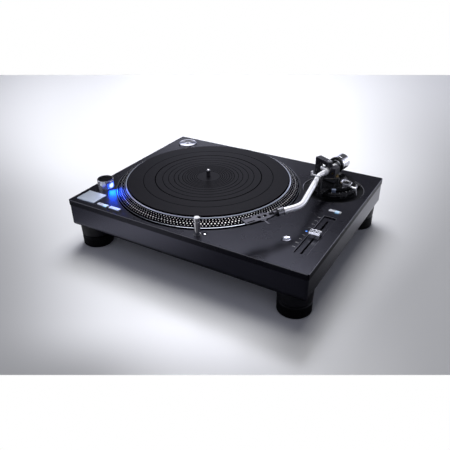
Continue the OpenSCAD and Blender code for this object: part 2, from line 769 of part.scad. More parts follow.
// Clear window in the housing's side that faces the nearest stretch of the dotted rim
module strobe_window() color("#2a6cff")
    translate([left + strobe_x, front + strobe_y, panel_top]) intersection() {
    cylinder(r = strobe_r, h = strobe_h);
    rotate([0, 0, strobe_turn]) translate([strobe_r - 7 + seat, -window_w / 2 + seat, 2 + seat])
        cube([10, window_w - 2 * seat, strobe_h - knob_seat - 4 - 2 * seat]);
}

// Round power knob with a grip bar across its top
module power_knob() color("#1c1c1f")
    translate([left + strobe_x, front + strobe_y, panel_top + strobe_h - knob_seat + 0.3]) {
    difference() {
        cylinder(r = power_r, h = knob_seat - 1);
        translate([0, 0, 1]) difference() {
            cylinder(r = power_r - 1, h = knob_seat);
            translate([-power_r, -2.2, -1]) cube([2 * power_r, 4.4, knob_seat + 2]);
        }
    }
    translate([0, 0, -8]) cylinder(r = 3, h = 8.5);
}

// Small switches on the casting, under the buttons
module key_switches() color("#77797d") {
    for (p = [[left + start_x + start_w / 2, key_front + start_d / 2],
            [speed_33_x + speed_w / 2, key_front + speed_d / 2 + 1.2],
            [speed_45_x + speed_w / 2, key_front + speed_d / 2 + 1.2],
            [fader_left + reset_w / 2, reset_y + reset_d / 2], [right - round_x, front + round_y]])
        translate([p[0] - 2.2, p[1] - 1.5, panel_under]) cube([4.4, 3, switch_h]);
    translate([light_key[0] - 1.5, light_key[1] - 1.5, panel_under]) cube([3, 3, switch_h]);
}

module start_button() color("#c9cbcf") key_cap(left + start_x, key_front, start_w, start_d);
module speed_33_button() color("#c9cbcf") key_cap(speed_33_x, key_front, speed_w, speed_d);
module speed_45_button() color("#c9cbcf") key_cap(speed_45_x, key_front, speed_w, speed_d);
module reset_button() color("#c9cbcf") key_cap(fader_left, reset_y, reset_w, reset_d);

module round_button() color("#c9cbcf") translate([right - round_x, front + round_y, panel_top - key_depth])
    rotate_extrude() polygon([[0, 0], [round_r, 0], [round_r, key_depth + key_h - 0.3],
        [round_r - 0.6, key_depth + key_h + 0.3], [round_r - 2, key_depth + key_h],
        [0, key_depth + key_h - 0.2]]);

// Black trough of the pitch fader with a long slot
module fader_plate() color("#141416") difference() {
    translate([fader_left, fader_front, panel_under]) cube([fader_w, fader_l, panel_t - fader_d]);
    translate([fader_mid_x - slot_w / 2, slot_mid_y - slot_l / 2, panel_under - 1])
        cube([slot_w, slot_l, panel_t]);
}

// Fader body hung under the trough, with a track for the knob's stem
module fader_body() color("#55575b") difference() {
    translate([fader_left + fader_wall - 1, fader_front + 1, panel_under - fader_body_h])
        cube([fader_w - 2 * fader_wall + 2, fader_l - 6, fader_body_h]);
    translate([fader_mid_x - slot_w / 2, slot_mid_y - slot_l / 2, panel_under - fader_stem_d - 2])
        cube([slot_w, slot_l, fader_stem_d + 3]);
}

// Ribbed fader knob with a flat stem through the slot
module fader_knob() color("#c9cbcf") translate([fader_mid_x, slot_mid_y, panel_top]) {
    difference() {
        rotate([90, 0, 90]) linear_extrude(knob_w, center = true) polygon([
            [-knob_l / 2, -fader_d + 0.5], [knob_l / 2, -fader_d + 0.5], [knob_l / 2, knob_h - 2.5],
            [knob_l / 2 - 1.5, knob_h], [-knob_l / 2 + 1.5, knob_h], [-knob_l / 2, knob_h - 2.5]]);
        for (y = [-1.8, 1.8]) translate([-knob_w, y - 0.5, knob_h - 0.9]) cube([2 * knob_w, 1, 2]);
    }
    translate([-stem_w / 2, -stem_l / 2, -panel_t - fader_stem_d])
        cube([stem_w, stem_l, panel_t + fader_stem_d - 1]);
}

// Pop-up target light: a turned tube with a slanted lamp notch under its cap
module target_light() color("#b9bbbf") translate([light_px, light_py, panel_top]) difference() {
    rotate_extrude() polygon([[0, -light_held], [light_r, -light_held], [light_r, light_h - 8],
        [light_r - 0.6, light_h - 7.6], [light_r - 0.6, light_h - 6.8], [light_r, light_h - 6.4],
        [light_r, light_h - 1], [light_r - 1, light_h], [0, light_h]]);
    rotate([0, 0, 130]) translate([2.4, -3, light_h - 5.4]) cube([6, 6, 3]);
}

module light_sleeve() color("#2b2c30")
    translate([light_px, light_py, panel_top - light_sleeve_l]) difference() {
    cylinder(r = light_sleeve_r, h = light_sleeve_l + 0.3);
    translate([0, 0, -1]) cylinder(r = light_bore, h = light_sleeve_l + 3);
}

module light_button() color("#c9cbcf") translate([light_key[0], light_key[1], panel_top - key_depth])
    rotate_extrude() polygon(concat([[0, 0], [light_key_r, 0], [light_key_r, key_depth - 0.6]],
        [for (k = [1:arc_steps]) let (a = 90 * k / arc_steps)
            [light_key_r * cos(a), key_depth - 0.6 + 1.2 * sin(a)]]));

// Turned adapter for large-hole records, lying in its recess
adapter_h = 8.5;
adapter_hole_r = 3.65;
module adapter_45() color("#d4d5d8")
    translate([left + adapter_x, back - adapter_y, panel_top - adapter_seat + 0.02])
    rotate_extrude() polygon([[adapter_hole_r, 0], [adapter_r - 0.6, 0], [adapter_r, 0.6],
        [adapter_r, adapter_h - 0.8], [adapter_r - 0.8, adapter_h], [adapter_r - 3, adapter_h],
        [adapter_hole_r + 3, adapter_h - 1.2], [adapter_hole_r, adapter_h - 1.2]]);

// Fixed flange and guide tube in the arm hole
module arm_mount() color("#161618") on_arm_base() difference() {
    union() {
        translate([0, 0, -panel_t]) cylinder(r = arm_hole_r - seat, h = panel_t - arm_seat);
        translate([0, 0, -panel_t - cast_t]) cylinder(r = guide_r, h = panel_t + cast_t + guide_top);
    }
    translate([0, 0, -panel_t - cast_t - 1]) cylinder(r = stem_r + run, h = panel_t + cast_t + guide_top + 2);
    rotate([0, 0, lock_a]) translate([lock_r, 0, -panel_t + 1]) cylinder(r = 2 + run, h = panel_t);
}

// Height ring with grip notches, turning on the guide tube
notch_n = 36;
module height_ring() color("#18181b") on_arm_base() difference() {
    rotate_extrude() polygon([[guide_r + run, -arm_seat + pass], [height_r, -arm_seat + pass],
        [height_r, height_h - 2], [height_r - 2, height_h], [guide_r + run, height_h]]);
    for (k = [0:notch_n - 1]) rotate([0, 0, 360 * k / notch_n]) translate([height_r + 0.5, 0, -arm_seat - 1])
        cylinder(r = 1.1, h = height_h + arm_seat - 1);
}

// Arm base: stem in the guide tube, round plate, a lobe for the yoke and a bracket for the arm rest
lobe_x = 20;
bracket_x = 24;
module arm_base() color("#1b1b1e") difference() {
    union() {
        on_arm_base() translate([0, 0, -panel_t - cast_t + 3])
            cylinder(r = stem_r, h = panel_t + cast_t + plate_z - 2);
        on_arm_base() translate([0, 0, plate_z]) cylinder(r = plate_r, h = plate_t);
        translate([piv_x, piv_y, panel_top + plate_z]) rotate([0, 0, yoke_a]) translate([lobe_x, 0, 0])
            linear_extrude(plate_t) polygon(tongue(yoke_reach - lobe_x, 8));
        on_arm() translate([bracket_x, rest_s + rest_w / 2, plate_z - tube_h])
            linear_extrude(plate_t) polygon(tongue(rest_f - bracket_x, rest_w / 2 + 2.5));
    }
    translate([piv_x, piv_y, panel_top + plate_top - 8]) cylinder(r = low_pin_r + run, h = 20);
    translate([piv_x + dial_dx, piv_y - 1.5, panel_top + plate_top - 4]) cylinder(r = 2.5 + run, h = 10);
    on_arm() rotate([0, 0, lift_a]) translate([rail_r, 0, plate_z - tube_h - lift_way])
        cylinder(r = lift_stem_r + run, h = lift_way + plate_t + 1);
    on_arm_base() rotate([0, 0, cue_a]) translate([plate_r - cue_held - 0.5, 0, plate_z + 2.5])
        rotate([0, 90, 0])
        cylinder(r = 1.6 + run, h = 20);
}

// Pointer for the height scale on the plate's rim
module height_index() color("#6d7a92") on_arm_base() rotate([0, 0, index_a]) intersection() {
    translate([plate_r, -index_w / 2, plate_z]) cube([index_l + 1, index_w, plate_t - 0.5]);
    difference() {
        cylinder(r = plate_r + index_l, h = plate_top);
        translate([0, 0, -1]) cylinder(r = plate_r + run, h = plate_top + 2);
    }
}

// Fixed yoke of the gimbal: a post beside the pivot and a bar over it
module gimbal_yoke() color("#1d1d20") translate([piv_x, piv_y, panel_top]) rotate([0, 0, yoke_a]) difference() {
    union() {
        translate([yoke_reach - post_t / 2, -post_w / 2, plate_top])
            cube([post_t, post_w, yoke_top - plate_top]);
        translate([yoke_reach, 0, bar_z]) rotate([0, 0, 180]) linear_extrude(yoke_top - bar_z)
            polygon(tongue(yoke_reach, post_w / 2));
        rotate([90, 0, 0]) linear_extrude(post_w - 3, center = true) polygon([
            [yoke_reach - post_t / 2 + 1, bar_z - 6], [yoke_reach - post_t / 2 + 1, bar_z + 1],
            [yoke_reach - post_t / 2 - 6, bar_z + 1]]);
    }
    translate([0, 0, bar_z - 1]) cylinder(r = top_pin_r + run, h = 7);
}

// Ringed cap with a slotted screw on the yoke's bar, over the upright pivot
cap_r = 4.2;
cap_h = 1.2;
module pivot_cap() color("#b9bbbf") translate([piv_x, piv_y, panel_top + yoke_top]) difference() {
    rotate_extrude()
        polygon([[0, 0], [cap_r, 0], [cap_r, cap_h - 0.4], [cap_r - 0.4, cap_h], [cap_r - 1.2, cap_h],
        [cap_r - 1.5, cap_h - 0.5], [0, cap_h - 0.5]]);
    rotate([0, 0, 40]) translate([-cap_r + 1.6, -0.4, cap_h - 0.9]) cube([2 * cap_r - 3.2, 0.8, 2]);
}

// Arm rest: a slim post outside the tube, a flat saddle under it and ears for the clamp
module arm_rest() color("#131315") on_arm() translate([rest_f, rest_s, 0]) difference() {
    union() {
        translate([-rest_l / 2, 0, plate_top - tube_h])
            cube([rest_l, rest_w, tube_h - plate_top + clamp_axis_z + 1.6]);
        translate([-rest_l / 2, -rest_saddle, -tube_r - rest_gap - 2.4]) cube([rest_l, rest_saddle + 1, 2.4]);
    }
    translate([-1.6, -1, clamp_axis_z - 2]) cube([3.2, rest_w + 2, 6]);
    translate([-rest_l, rest_w / 2, clamp_axis_z]) rotate([0, 90, 0]) cylinder(r = 0.8 + run, h = 2 * rest_l);
}

// Silver clamp lever over the tube, with a finger tab and its hinge pin
rest_saddle = 2 * tube_r + 3;
clamp_reach = 17;
module clamp_lever() color("#d4d5d8") on_arm() translate([rest_f, rest_s + rest_w / 2, clamp_axis_z]) {
    translate([-1.25, -clamp_reach, -clamp_t / 2]) cube([2.5, clamp_reach, clamp_t]);
    translate([-1.25, 0, 0]) rotate([0, 90, 0]) cylinder(r = clamp_t / 2, h = 2.5);
    translate([-2.5, -clamp_reach - 1.5, -clamp_t / 2]) cube([5, 2, 7]);
    translate([-rest_l / 2, 0, 0]) rotate([0, 90, 0]) cylinder(r = 0.8, h = rest_l);
}

// Short lever that locks the height ring, lying along it in the recess
module lock_lever() color("#1f1f22") on_arm_base() rotate([0, 0, lock_a]) translate([lock_r, 0, 0]) {
    translate([0, 0, -panel_t + 2]) cylinder(r = 2, h = panel_t);
    translate([0, 0, 1]) cylinder(r = 4, h = 3);
    rotate([0, 0, 90]) translate([0, 0, 1]) linear_extrude(2.2) polygon(tongue(13, 1.8));
}

// Dial for the anti-skate force, with a bright rim
module antiskate_dial() color("#bfc1c5") translate([piv_x + dial_dx, piv_y - 1.5, panel_top + plate_top]) {
    rotate_extrude() polygon([[0, 0.3], [skate_r, 0.3], [skate_r, skate_h - 0.6], [skate_r - 0.6, skate_h],
        [skate_r - 2, skate_h], [skate_r - 2.6, skate_h - 0.8], [0, skate_h - 0.8]]);
    translate([0, 0, -3.5]) cylinder(r = 2.5, h = 4.5);
}

// Cue lever: a cross shaft at the plate's rim and a crank that hangs down
cue_reach = height_r + 0.9;
cue_held = 5;
crank_l = 15;
module cue_lever() color("#d0d1d4") on_arm_base() rotate([0, 0, cue_a]) translate([0, 0, plate_z + 2.5]) {
    translate([plate_r - cue_held, 0, 0]) rotate([0, 90, 0])
        cylinder(r = 1.6, h = cue_reach - plate_r + cue_held);
    translate([cue_reach, 0, 0]) rotate([0, 90, 0]) cylinder(r = 2.6, h = 2.4);
    translate([cue_reach, 0, 0]) rotate([-160, 0, 0]) translate([0, -1.4, 0]) cube([2.4, 2.8, crank_l]);
    translate([cue_reach, 0, 0]) rotate([-160, 0, 0]) translate([0, 0, crank_l]) rotate([0, 90, 0])
        cylinder(r = 1.4, h = 2.4);
}

// Cue lift: a curved rail under the tube on a stem in the arm base
lift_a = 70;
lift_stem_r = 2.2;
lift_way = 12;
rail_from = -52;
rail_t = 2;
rail_gap = rail_r * sin(tilt_down) + pass;
module cue_lift() color("#2a2a2d") on_arm() {
    rotate([0, 0, rail_from]) translate([0, 0, -tube_r - rail_gap - rail_t])
        rotate_extrude(angle = lift_a - rail_from) translate([rail_r - 1.6, 0]) square([3.2, rail_t]);
    rotate([0, 0, lift_a]) translate([rail_r, 0, plate_z - tube_h - 3])
        cylinder(r = lift_stem_r, h = tube_h - plate_z + 3 - tube_r - rail_gap - rail_t / 2);
    rotate([0, 0, lift_a]) translate([rail_r, 0, -tube_r - rail_gap - rail_t - 0.8])
        cylinder(r = 3, h = rail_t + 0.6);
}

// Swinging block of the gimbal: two cheeks, a floor, a roof over the tube and the upright pivots
module gimbal_block() color("#1a1a1d") on_arm() difference() {
    union() {
        translate([-gimbal_f, gimbal_in, -gimbal_base])
            cube([2 * gimbal_f, gimbal_out - gimbal_in, gimbal_base + gimbal_top]);
        translate([-gimbal_f + 1, -gimbal_left, -gimbal_base])
            cube([2 * gimbal_f - 2, gimbal_left + gimbal_out - 1, 3]);
        translate([-5, -gimbal_left, -gimbal_base]) cube([10, 2.6, gimbal_base - 5.5]);
        translate([-5, -5, gimbal_roof]) cube([10, gimbal_in + 6, gimbal_top - gimbal_roof]);
        translate([0, 0, gimbal_roof + 1]) cylinder(r = top_pin_r, h = gimbal_top - gimbal_roof + 5);
        translate([0, 0, -gimbal_base - 8]) cylinder(r = low_pin_r, h = 9);
    }
    translate([0, -gimbal_left - 1, -tilt_drop]) rotate([-90, 0, 0])
        cylinder(r = pin_r + run, h = gimbal_left + gimbal_out + 2);
}

// Brass tilt bearing screw on the block's outer cheek, and the small set screw on its front face
module bearing_screws() color("#a58a4f") on_arm() {
    translate([0, gimbal_out, -tilt_drop]) rotate([-90, 0, 0]) difference() {
        cylinder(r = 4.2, h = 1.4);
        translate([-5, -0.5, 0.7]) cube([10, 1, 2]);
    }
    translate([gimbal_f, (gimbal_in + gimbal_out) / 2, -1]) rotate([0, 90, 0]) cylinder(r = 1.8, h = 0.9);
}

// S-shaped arm tube: straight, outward bend, straight, inward bend, straight, and the rear stub
module arm_tube() color("#e2e3e6") on_arm() {
    tube_run(-gimbal_f - 2, bend_1 - cut_1 + bend_lap);
    translate([bend_1 - cut_1, bend_r1, 0]) rotate([0, 0, -90]) tube_bend(bend_r1, turn_1);
    translate([bend_1, 0, 0]) rotate([0, 0, turn_1]) tube_run(cut_1 - bend_lap, mid_l - cut_2 + bend_lap);
    translate([bend_2, bend_s, 0]) rotate([0, 0, turn_1]) translate([-cut_2, -bend_r2, 0])
        rotate([0, 0, 90 - turn_2]) tube_bend(bend_r2, turn_2);
    translate([bend_2, bend_s, 0]) rotate([0, 0, -offset_a]) tube_run(cut_2 - bend_lap, front_l - tube_end);
    translate([-stub_end, 0, 0]) rotate([0, 90, 0]) cylinder(r = stub_r, h = stub_end - gimbal_f - 2);
    translate([gimbal_f + 1, 0, 0]) rotate([0, 90, 0]) cylinder(r = tube_r + 1.2, h = 5);
    translate([0, -knuckle_l, 0]) rotate([-90, 0, 0]) cylinder(r = knuckle_r, h = knuckle_l - 1);
}

// Straight and bent lengths of the tube; a straight one ends just inside its bend
bend_lap = 0.5;
knuckle_l = 15;
knuckle_r = 3.6;
bend_swell = 0.02;
module tube_run(a, b) translate([a, 0, 0]) rotate([0, 90, 0]) cylinder(r = tube_r, h = b - a);
module tube_bend(r, a) rotate_extrude(angle = a) translate([r, 0]) circle(tube_r + bend_swell);

// Carrier that hangs the tube from the tilt pins
module pivot_carrier() color("#3a3b3f") on_arm() difference() {
    union() {
        translate([-5, -6.6, -gimbal_base + 4.2]) cube([10, 13.2, gimbal_base - 5]);
        translate([0, -gimbal_left + 0.3, -tilt_drop]) rotate([-90, 0, 0])
            cylinder(r = pin_r, h = gimbal_left + gimbal_out - 0.6);
    }
    translate([-10, 0, 0]) rotate([0, 90, 0]) cylinder(r = tube_r + seat / 5, h = 20);
    translate([0, -2 * knuckle_l, 0]) rotate([-90, 0, 0]) cylinder(r = knuckle_r + seat / 5, h = 2 * knuckle_l);
}

// Headshell: a thin plate with three round holes, two front slots, side flanges, a finger lift and a neck
shell_t = 2;
shell_hole_r = 3.2;
slot_front = 5;
slot_rear = 8;
lift_x = 21;
lift_l = 13;
module headshell() color("#3b3c42") on_shell(0) difference() {
    union() {
        translate([-shell_rear, 0, -1]) linear_extrude(shell_t) polygon(shell_plan());
        for (s = [-1, 1]) translate([-28, s * (shell_w / 2 - 0.6) - 0.6, -3]) cube([30, 1.2, 3]);
        translate([-shell_rear - neck_l + 0.05, 0, 0]) rotate([0, 90, 0]) cylinder(r = stub_r, h = neck_l + 3);
        translate([-lift_x - 4.5, shell_w / 2 - 0.7, -0.8]) cube([9, 3, 1.4]);
        translate([-lift_x, shell_w / 2, -0.6]) rotate([0, 0, 90]) linear_extrude(1)
            polygon(tongue(lift_l, 1.3));
    }
    for (x = [18, 28, 38]) translate([-x, 0, -5]) cylinder(r = shell_hole_r, h = 10);
    for (s = [-1, 1]) translate([-slot_rear, s * 5.5 - 1.3, -5]) cube([slot_rear + slot_front, 2.6, 10]);
}

// Plan of the headshell's plate from its neck to its square nose
function shell_plan() = [[0, -stub_r], [6, -stub_r - 1.5], [14, -shell_w / 2],
    [shell_rear + shell_nose, -shell_w / 2], [shell_rear + shell_nose, shell_w / 2], [14, shell_w / 2],
    [6, stub_r + 1.5], [0, stub_r]];

// Knurled lock nut round the joint of tube and headshell
module lock_nut() color("#8b8d92") on_shell(shell_rear + neck_l / 2) rotate([0, -90, 0]) difference() {
    rotate_extrude() polygon([[tube_r + run, 0], [nut_r - 0.6, 0], [nut_r, 0.8], [nut_r, nut_l - 1],
        [nut_r - 0.8, nut_l], [tube_r + run, nut_l]]);
    for (k = [0:17]) rotate([0, 0, 20 * k]) translate([nut_r + 0.35, 0, 2]) cylinder(r = 0.8, h = nut_l - 4);
}

// Threaded core of the counterweight, which slides along the stub
module weight_core() color("#8d8f94") on_arm() translate([-core_front, 0, 0]) rotate([0, -90, 0]) difference() {
    cylinder(r = core_r, h = core_l);
    translate([0, 0, -1]) cylinder(r = stub_r + run, h = core_l + 2);
}

// Counterweight: a turned cylinder with a neck for the dial and a shallow groove
module counterweight() color("#c7c9cd")
    on_arm() translate([-weight_f, 0, 0]) rotate([0, -90, 0]) rotate_extrude() polygon([
    [core_r + run, 0.6], [core_r + 2, 0.6], [core_r + 2, dial_t], [weight_r, dial_t], [weight_r, band_l],
    [weight_r - band_d, band_l + 0.4], [weight_r - band_d, band_l + 1.4], [weight_r, band_l + 1.8],
    [weight_r, dial_t + weight_l - 1], [weight_r - 1, dial_t + weight_l], [core_r + run, dial_t + weight_l]]);

// Tracking force dial in front of the counterweight
module weight_dial() color("#131315")
    on_arm() translate([-weight_f, 0, 0]) rotate([0, -90, 0]) rotate_extrude() polygon([
    [core_r + 2 + run, 0.3], [dial_r - 1, 0.3], [dial_r, 1.3], [dial_r, dial_t - 0.3],
    [core_r + 2 + run, dial_t - 0.3]]);

// Screws from below through the tray's columns into the casting
module chassis_screws() color("#77797d") at_columns() {
    translate([0, 0, body_z + 0.4]) cylinder(r = screw_head_r, h = screw_head_h - 0.1);
    translate([0, 0, body_z + 1]) cylinder(r = screw_r, h = cast_z - body_z - 1 + screw_bite);
}

top_panel();
base_body();
cast_chassis();
foot_bosses();
motor_base();
bearing_sleeve();
thrust_pad();
stator_board();
stator_coils();
circuit_boards();
power_inlet();
phono_sockets();
strobe_housing();
strobe_window();
key_switches();
fader_plate();
fader_body();
light_sleeve();
arm_mount();
chassis_screws();
platter();
damping_ring();
platter_mat();
spindle();
rotor_yoke();
rotor_magnet();
power_knob();
start_button();
speed_33_button();
speed_45_button();
reset_button();
round_button();
fader_knob();
target_light();
light_button();
adapter_45();
height_ring();
arm_base();
height_index();
gimbal_yoke();
arm_rest();
lock_lever();
antiskate_dial();
cue_lever();
cue_lift();
clamp_lever();
gimbal_block();
bearing_screws();
arm_tube();
pivot_carrier();
headshell();
pivot_cap();
lock_nut();
weight_core();
counterweight();
weight_dial();
foot_fl();
foot_fr();
foot_rl();
foot_rr();
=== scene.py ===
import bpy
import math
from mathutils import Matrix, Vector


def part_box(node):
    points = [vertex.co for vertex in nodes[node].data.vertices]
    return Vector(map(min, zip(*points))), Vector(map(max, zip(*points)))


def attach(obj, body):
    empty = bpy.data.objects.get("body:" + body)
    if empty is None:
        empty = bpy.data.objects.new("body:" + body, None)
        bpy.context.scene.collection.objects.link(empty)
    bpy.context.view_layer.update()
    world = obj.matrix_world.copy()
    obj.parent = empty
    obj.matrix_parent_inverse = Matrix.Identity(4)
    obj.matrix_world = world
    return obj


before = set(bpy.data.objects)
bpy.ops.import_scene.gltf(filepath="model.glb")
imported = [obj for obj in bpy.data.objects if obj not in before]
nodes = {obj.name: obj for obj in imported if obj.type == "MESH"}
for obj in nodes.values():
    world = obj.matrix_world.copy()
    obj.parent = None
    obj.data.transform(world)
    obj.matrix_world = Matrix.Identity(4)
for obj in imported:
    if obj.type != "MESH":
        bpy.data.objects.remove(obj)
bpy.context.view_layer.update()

# Cabinet: a thick aluminium top panel over a heavy moulded tray, both in the same satin
# charcoal powder paint. The screws come from below, so no fixing shows on top. The
# panel's right end is given the least gloss, as painted shade, and its chamfer is painted
# as a paler, part-metal line, a painted highlight.
panel_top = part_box("top_panel")[1].z


def add_node(tree, kind, **settings):
    node = tree.nodes.new(kind)
    for key, value in settings.items():
        if key in node.inputs:
            node.inputs[key].default_value = value
        else:
            setattr(node, key, value)
    return node


def feed(tree, socket, value):
    if isinstance(value, bpy.types.NodeSocket):
        tree.links.new(value, socket)
    elif socket.type == "RGBA":
        socket.default_value = (*value, 1.0)
    else:
        socket.default_value = value


def calc(tree, operation, *values):
    node = add_node(tree, "ShaderNodeMath", operation=operation)
    for socket, value in zip(node.inputs, values):
        feed(tree, socket, value)
    return node.outputs["Value"]


def ranged(tree, value, from_low, from_high, to_low, to_high, curve="LINEAR"):
    node = add_node(tree, "ShaderNodeMapRange", interpolation_type=curve)
    ends = {"Value": value, "From Min": from_low, "From Max": from_high,
            "To Min": to_low, "To Max": to_high}
    for key, end in ends.items():
        feed(tree, node.inputs[key], end)
    return node.outputs["Result"]


def blend(tree, share, first, second):
    node = add_node(tree, "ShaderNodeMix", data_type="RGBA")
    for key, value in (("Factor", share), ("A", first), ("B", second)):
        feed(tree, node.inputs[key], value)
    return node.outputs["Result"]


def axes(tree, vector):
    node = add_node(tree, "ShaderNodeSeparateXYZ")
    feed(tree, node.inputs["Vector"], vector)
    return node.outputs


def true_normal(tree):
    return axes(tree, add_node(tree, "ShaderNodeNewGeometry").outputs["True Normal"])


def object_point(tree, centre=(0.0, 0.0, 0.0)):
    coordinate = add_node(tree, "ShaderNodeTexCoord")
    shift = add_node(tree, "ShaderNodeMapping", Location=[-c for c in centre])
    feed(tree, shift.inputs["Vector"], coordinate.outputs["Object"])
    return shift.outputs["Vector"]


def new_finish(name, colour, metallic, roughness):
    finish = bpy.data.materials.new(name)
    finish.use_nodes = True
    shader = finish.node_tree.nodes["Principled BSDF"]
    shader.inputs["Base Color"].default_value = (*colour, 1.0)
    shader.inputs["Metallic"].default_value = metallic
    shader.inputs["Roughness"].default_value = roughness
    return finish, shader


def repaint(shader, mask, colour):
    tree = shader.id_data
    base = shader.inputs["Base Color"]
    feed(tree, base, blend(tree, mask, base.links[0].from_socket, colour))


def dress(finish, *names):
    for name in names:
        mesh = nodes[name].data
        mesh.materials.clear()
        mesh.materials.append(finish)


# Fine orange-peel of sprayed paint and moulded skins: two sizes of noise
grain = bpy.data.node_groups.new("fine_grain", "ShaderNodeTree")
grain.interface.new_socket("Point", in_out="INPUT", socket_type="NodeSocketVector")
grain.interface.new_socket("Scale", in_out="INPUT", socket_type="NodeSocketFloat")
grain.interface.new_socket("Height", in_out="OUTPUT", socket_type="NodeSocketFloat")
grain.interface.new_socket("Cloud", in_out="OUTPUT", socket_type="NodeSocketFloat")
grain_in = add_node(grain, "NodeGroupInput")
grain_out = add_node(grain, "NodeGroupOutput")
grain_fine = add_node(grain, "ShaderNodeTexNoise", Detail=4.0, Roughness=0.6)
grain_cloud = add_node(grain, "ShaderNodeTexNoise", Scale=9.0, Detail=5.0, Roughness=0.55)
feed(grain, grain_fine.inputs["Vector"], grain_in.outputs["Point"])
feed(grain, grain_fine.inputs["Scale"], grain_in.outputs["Scale"])
feed(grain, grain_cloud.inputs["Vector"], grain_in.outputs["Point"])
feed(grain, grain_out.inputs["Height"], grain_fine.outputs["Fac"])
feed(grain, grain_out.inputs["Cloud"], grain_cloud.outputs["Fac"])


def grained(name, colour, roughness, scale, depth, metallic=0.0, spread=0.08):
    finish, shader = new_finish(name, colour, metallic, roughness)
    tree = finish.node_tree
    skin = add_node(tree, "ShaderNodeGroup", node_tree=grain, Scale=scale)
    feed(tree, skin.inputs["Point"], object_point(tree))
    cloud = skin.outputs["Cloud"]
    bump = add_node(tree, "ShaderNodeBump", Distance=depth, Strength=1.0)
    feed(tree, bump.inputs["Height"], skin.outputs["Height"])
    feed(tree, shader.inputs["Normal"], bump.outputs["Normal"])
    polish = ranged(tree, cloud, 0.3, 0.7, roughness - spread, roughness + spread)
    feed(tree, shader.inputs["Roughness"], polish)
    darker = [c * 0.85 for c in colour]
    paler = [c * 1.15 for c in colour]
    feed(tree, shader.inputs["Base Color"], blend(tree, cloud, darker, paler))
    return finish, shader


panel_paint, panel_shader = grained(
    "panel_paint", (0.0036, 0.0034, 0.0056), roughness=0.27, scale=2200.0, depth=6e-6, spread=0.03)
body_paint, body_shader = grained(
    "body_paint", (0.0035, 0.0033, 0.0055), roughness=0.13, scale=2000.0, depth=1e-6, spread=0.02)
body_shader.inputs["Specular IOR Level"].default_value = 1.0
body_shader.inputs["IOR"].default_value = 1.6
tree = panel_paint.node_tree
panel_normal = true_normal(tree)
# The right end gets less gloss than the front: painted shade.
top_sheen, front_sheen, end_shade_sheen = 0.2, 0.34, 0.06
side_sheen = ranged(tree, panel_normal["X"], 0.3, 0.8, front_sheen, end_shade_sheen)
panel_sheen = ranged(tree, panel_normal["Z"], 0.4, 0.9, side_sheen, top_sheen)
feed(tree, panel_shader.inputs["Specular IOR Level"], panel_sheen)
# The chamfer is painted pale and part metallic: a painted highlight line.
chamfer_highlight = calc(tree, "COMPARE", panel_normal["Z"], 0.7, 0.15)
repaint(panel_shader, chamfer_highlight, (0.12, 0.12, 0.13))
feed(tree, panel_shader.inputs["Metallic"], calc(tree, "MULTIPLY", chamfer_highlight, 0.14))
cool_gloss = (0.78, 0.78, 1.0, 1.0)
for shader in (panel_shader, body_shader):
    shader.inputs["Specular Tint"].default_value = cool_gloss
dress(panel_paint, "top_panel", "fader_plate")
dress(body_paint, "base_body")

# Inside of the cabinet: bare castings, boards, the motor's coils and magnet and the
# bearing. They are closed in, and each has the plain finish of its own material.
bare_casting, _ = grained(
    "bare_casting", (0.16, 0.16, 0.17), metallic=0.9, roughness=0.55, scale=700.0, depth=1e-4)
board_green, _ = grained(
    "board_green", (0.02, 0.12, 0.05), roughness=0.4, scale=300.0, depth=3e-5)
coil_wire, _ = grained(
    "coil_wire", (0.5, 0.2, 0.06), metallic=0.9, roughness=0.3, scale=1500.0, depth=1e-4)
bearing_bronze, _ = grained(
    "bearing_bronze", (0.45, 0.28, 0.1), metallic=1.0, roughness=0.4, scale=900.0, depth=3e-5)
bearing_pad, _ = grained(
    "bearing_pad", (0.65, 0.6, 0.5), roughness=0.5, scale=500.0, depth=2e-5)
plated_steel, _ = grained(
    "plated_steel", (0.55, 0.55, 0.56), metallic=1.0, roughness=0.32, scale=900.0, depth=2e-5)
magnet_ferrite, _ = grained(
    "magnet_ferrite", (0.06, 0.06, 0.065), metallic=0.1, roughness=0.6, scale=500.0, depth=5e-5)
dress(bare_casting, "cast_chassis", "motor_base", "fader_body")
dress(board_green, "stator_board", "circuit_boards")
dress(coil_wire, "stator_coils")
dress(bearing_bronze, "bearing_sleeve")
dress(bearing_pad, "thrust_pad")
dress(plated_steel, "rotor_yoke", "chassis_screws")
dress(magnet_ferrite, "rotor_magnet")

# Feet: wide rubber-clad cups that screw in and out of flared bosses; the cups are matt
# black, the bosses moulded in a slightly glossier black.
foot_rubber, foot_shader = grained(
    "foot_rubber", (0.0015, 0.0015, 0.002), roughness=0.45, scale=900.0, depth=1e-5)
foot_shader.inputs["Specular IOR Level"].default_value = 0.1
dress(foot_rubber, "foot_fl", "foot_fr", "foot_rl", "foot_rr")
boss_black, boss_shader = grained(
    "boss_black", (0.007, 0.007, 0.0085), roughness=0.34, scale=1200.0, depth=8e-6)
boss_shader.inputs["Specular IOR Level"].default_value = 0.25
dress(boss_black, "foot_bosses")

# Platter: a turned aluminium casting, black on its bevel, with bare bright edges at the
# lip and round the mat. It sits on the shaft's shoulder and lifts off.
bevel_black = (0.004, 0.004, 0.005)
bare_edge = (0.42, 0.45, 0.52)
rim_height, rim_radius = 0.01085, 0.1482
lip_height, lip_margin, lip_radius = 0.00205, 0.0003, 0.1632


def middle(name):
    low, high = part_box(name)
    return low.lerp(high, 0.5)


def length(tree, vector):
    node = add_node(tree, "ShaderNodeVectorMath", operation="LENGTH")
    feed(tree, node.inputs[0], vector)
    return node.outputs["Value"]


def from_axis(tree, point):
    parts = axes(tree, point)
    flat = add_node(tree, "ShaderNodeCombineXYZ")
    for key in ("X", "Y"):
        feed(tree, flat.inputs[key], parts[key])
    return length(tree, flat.outputs["Vector"])


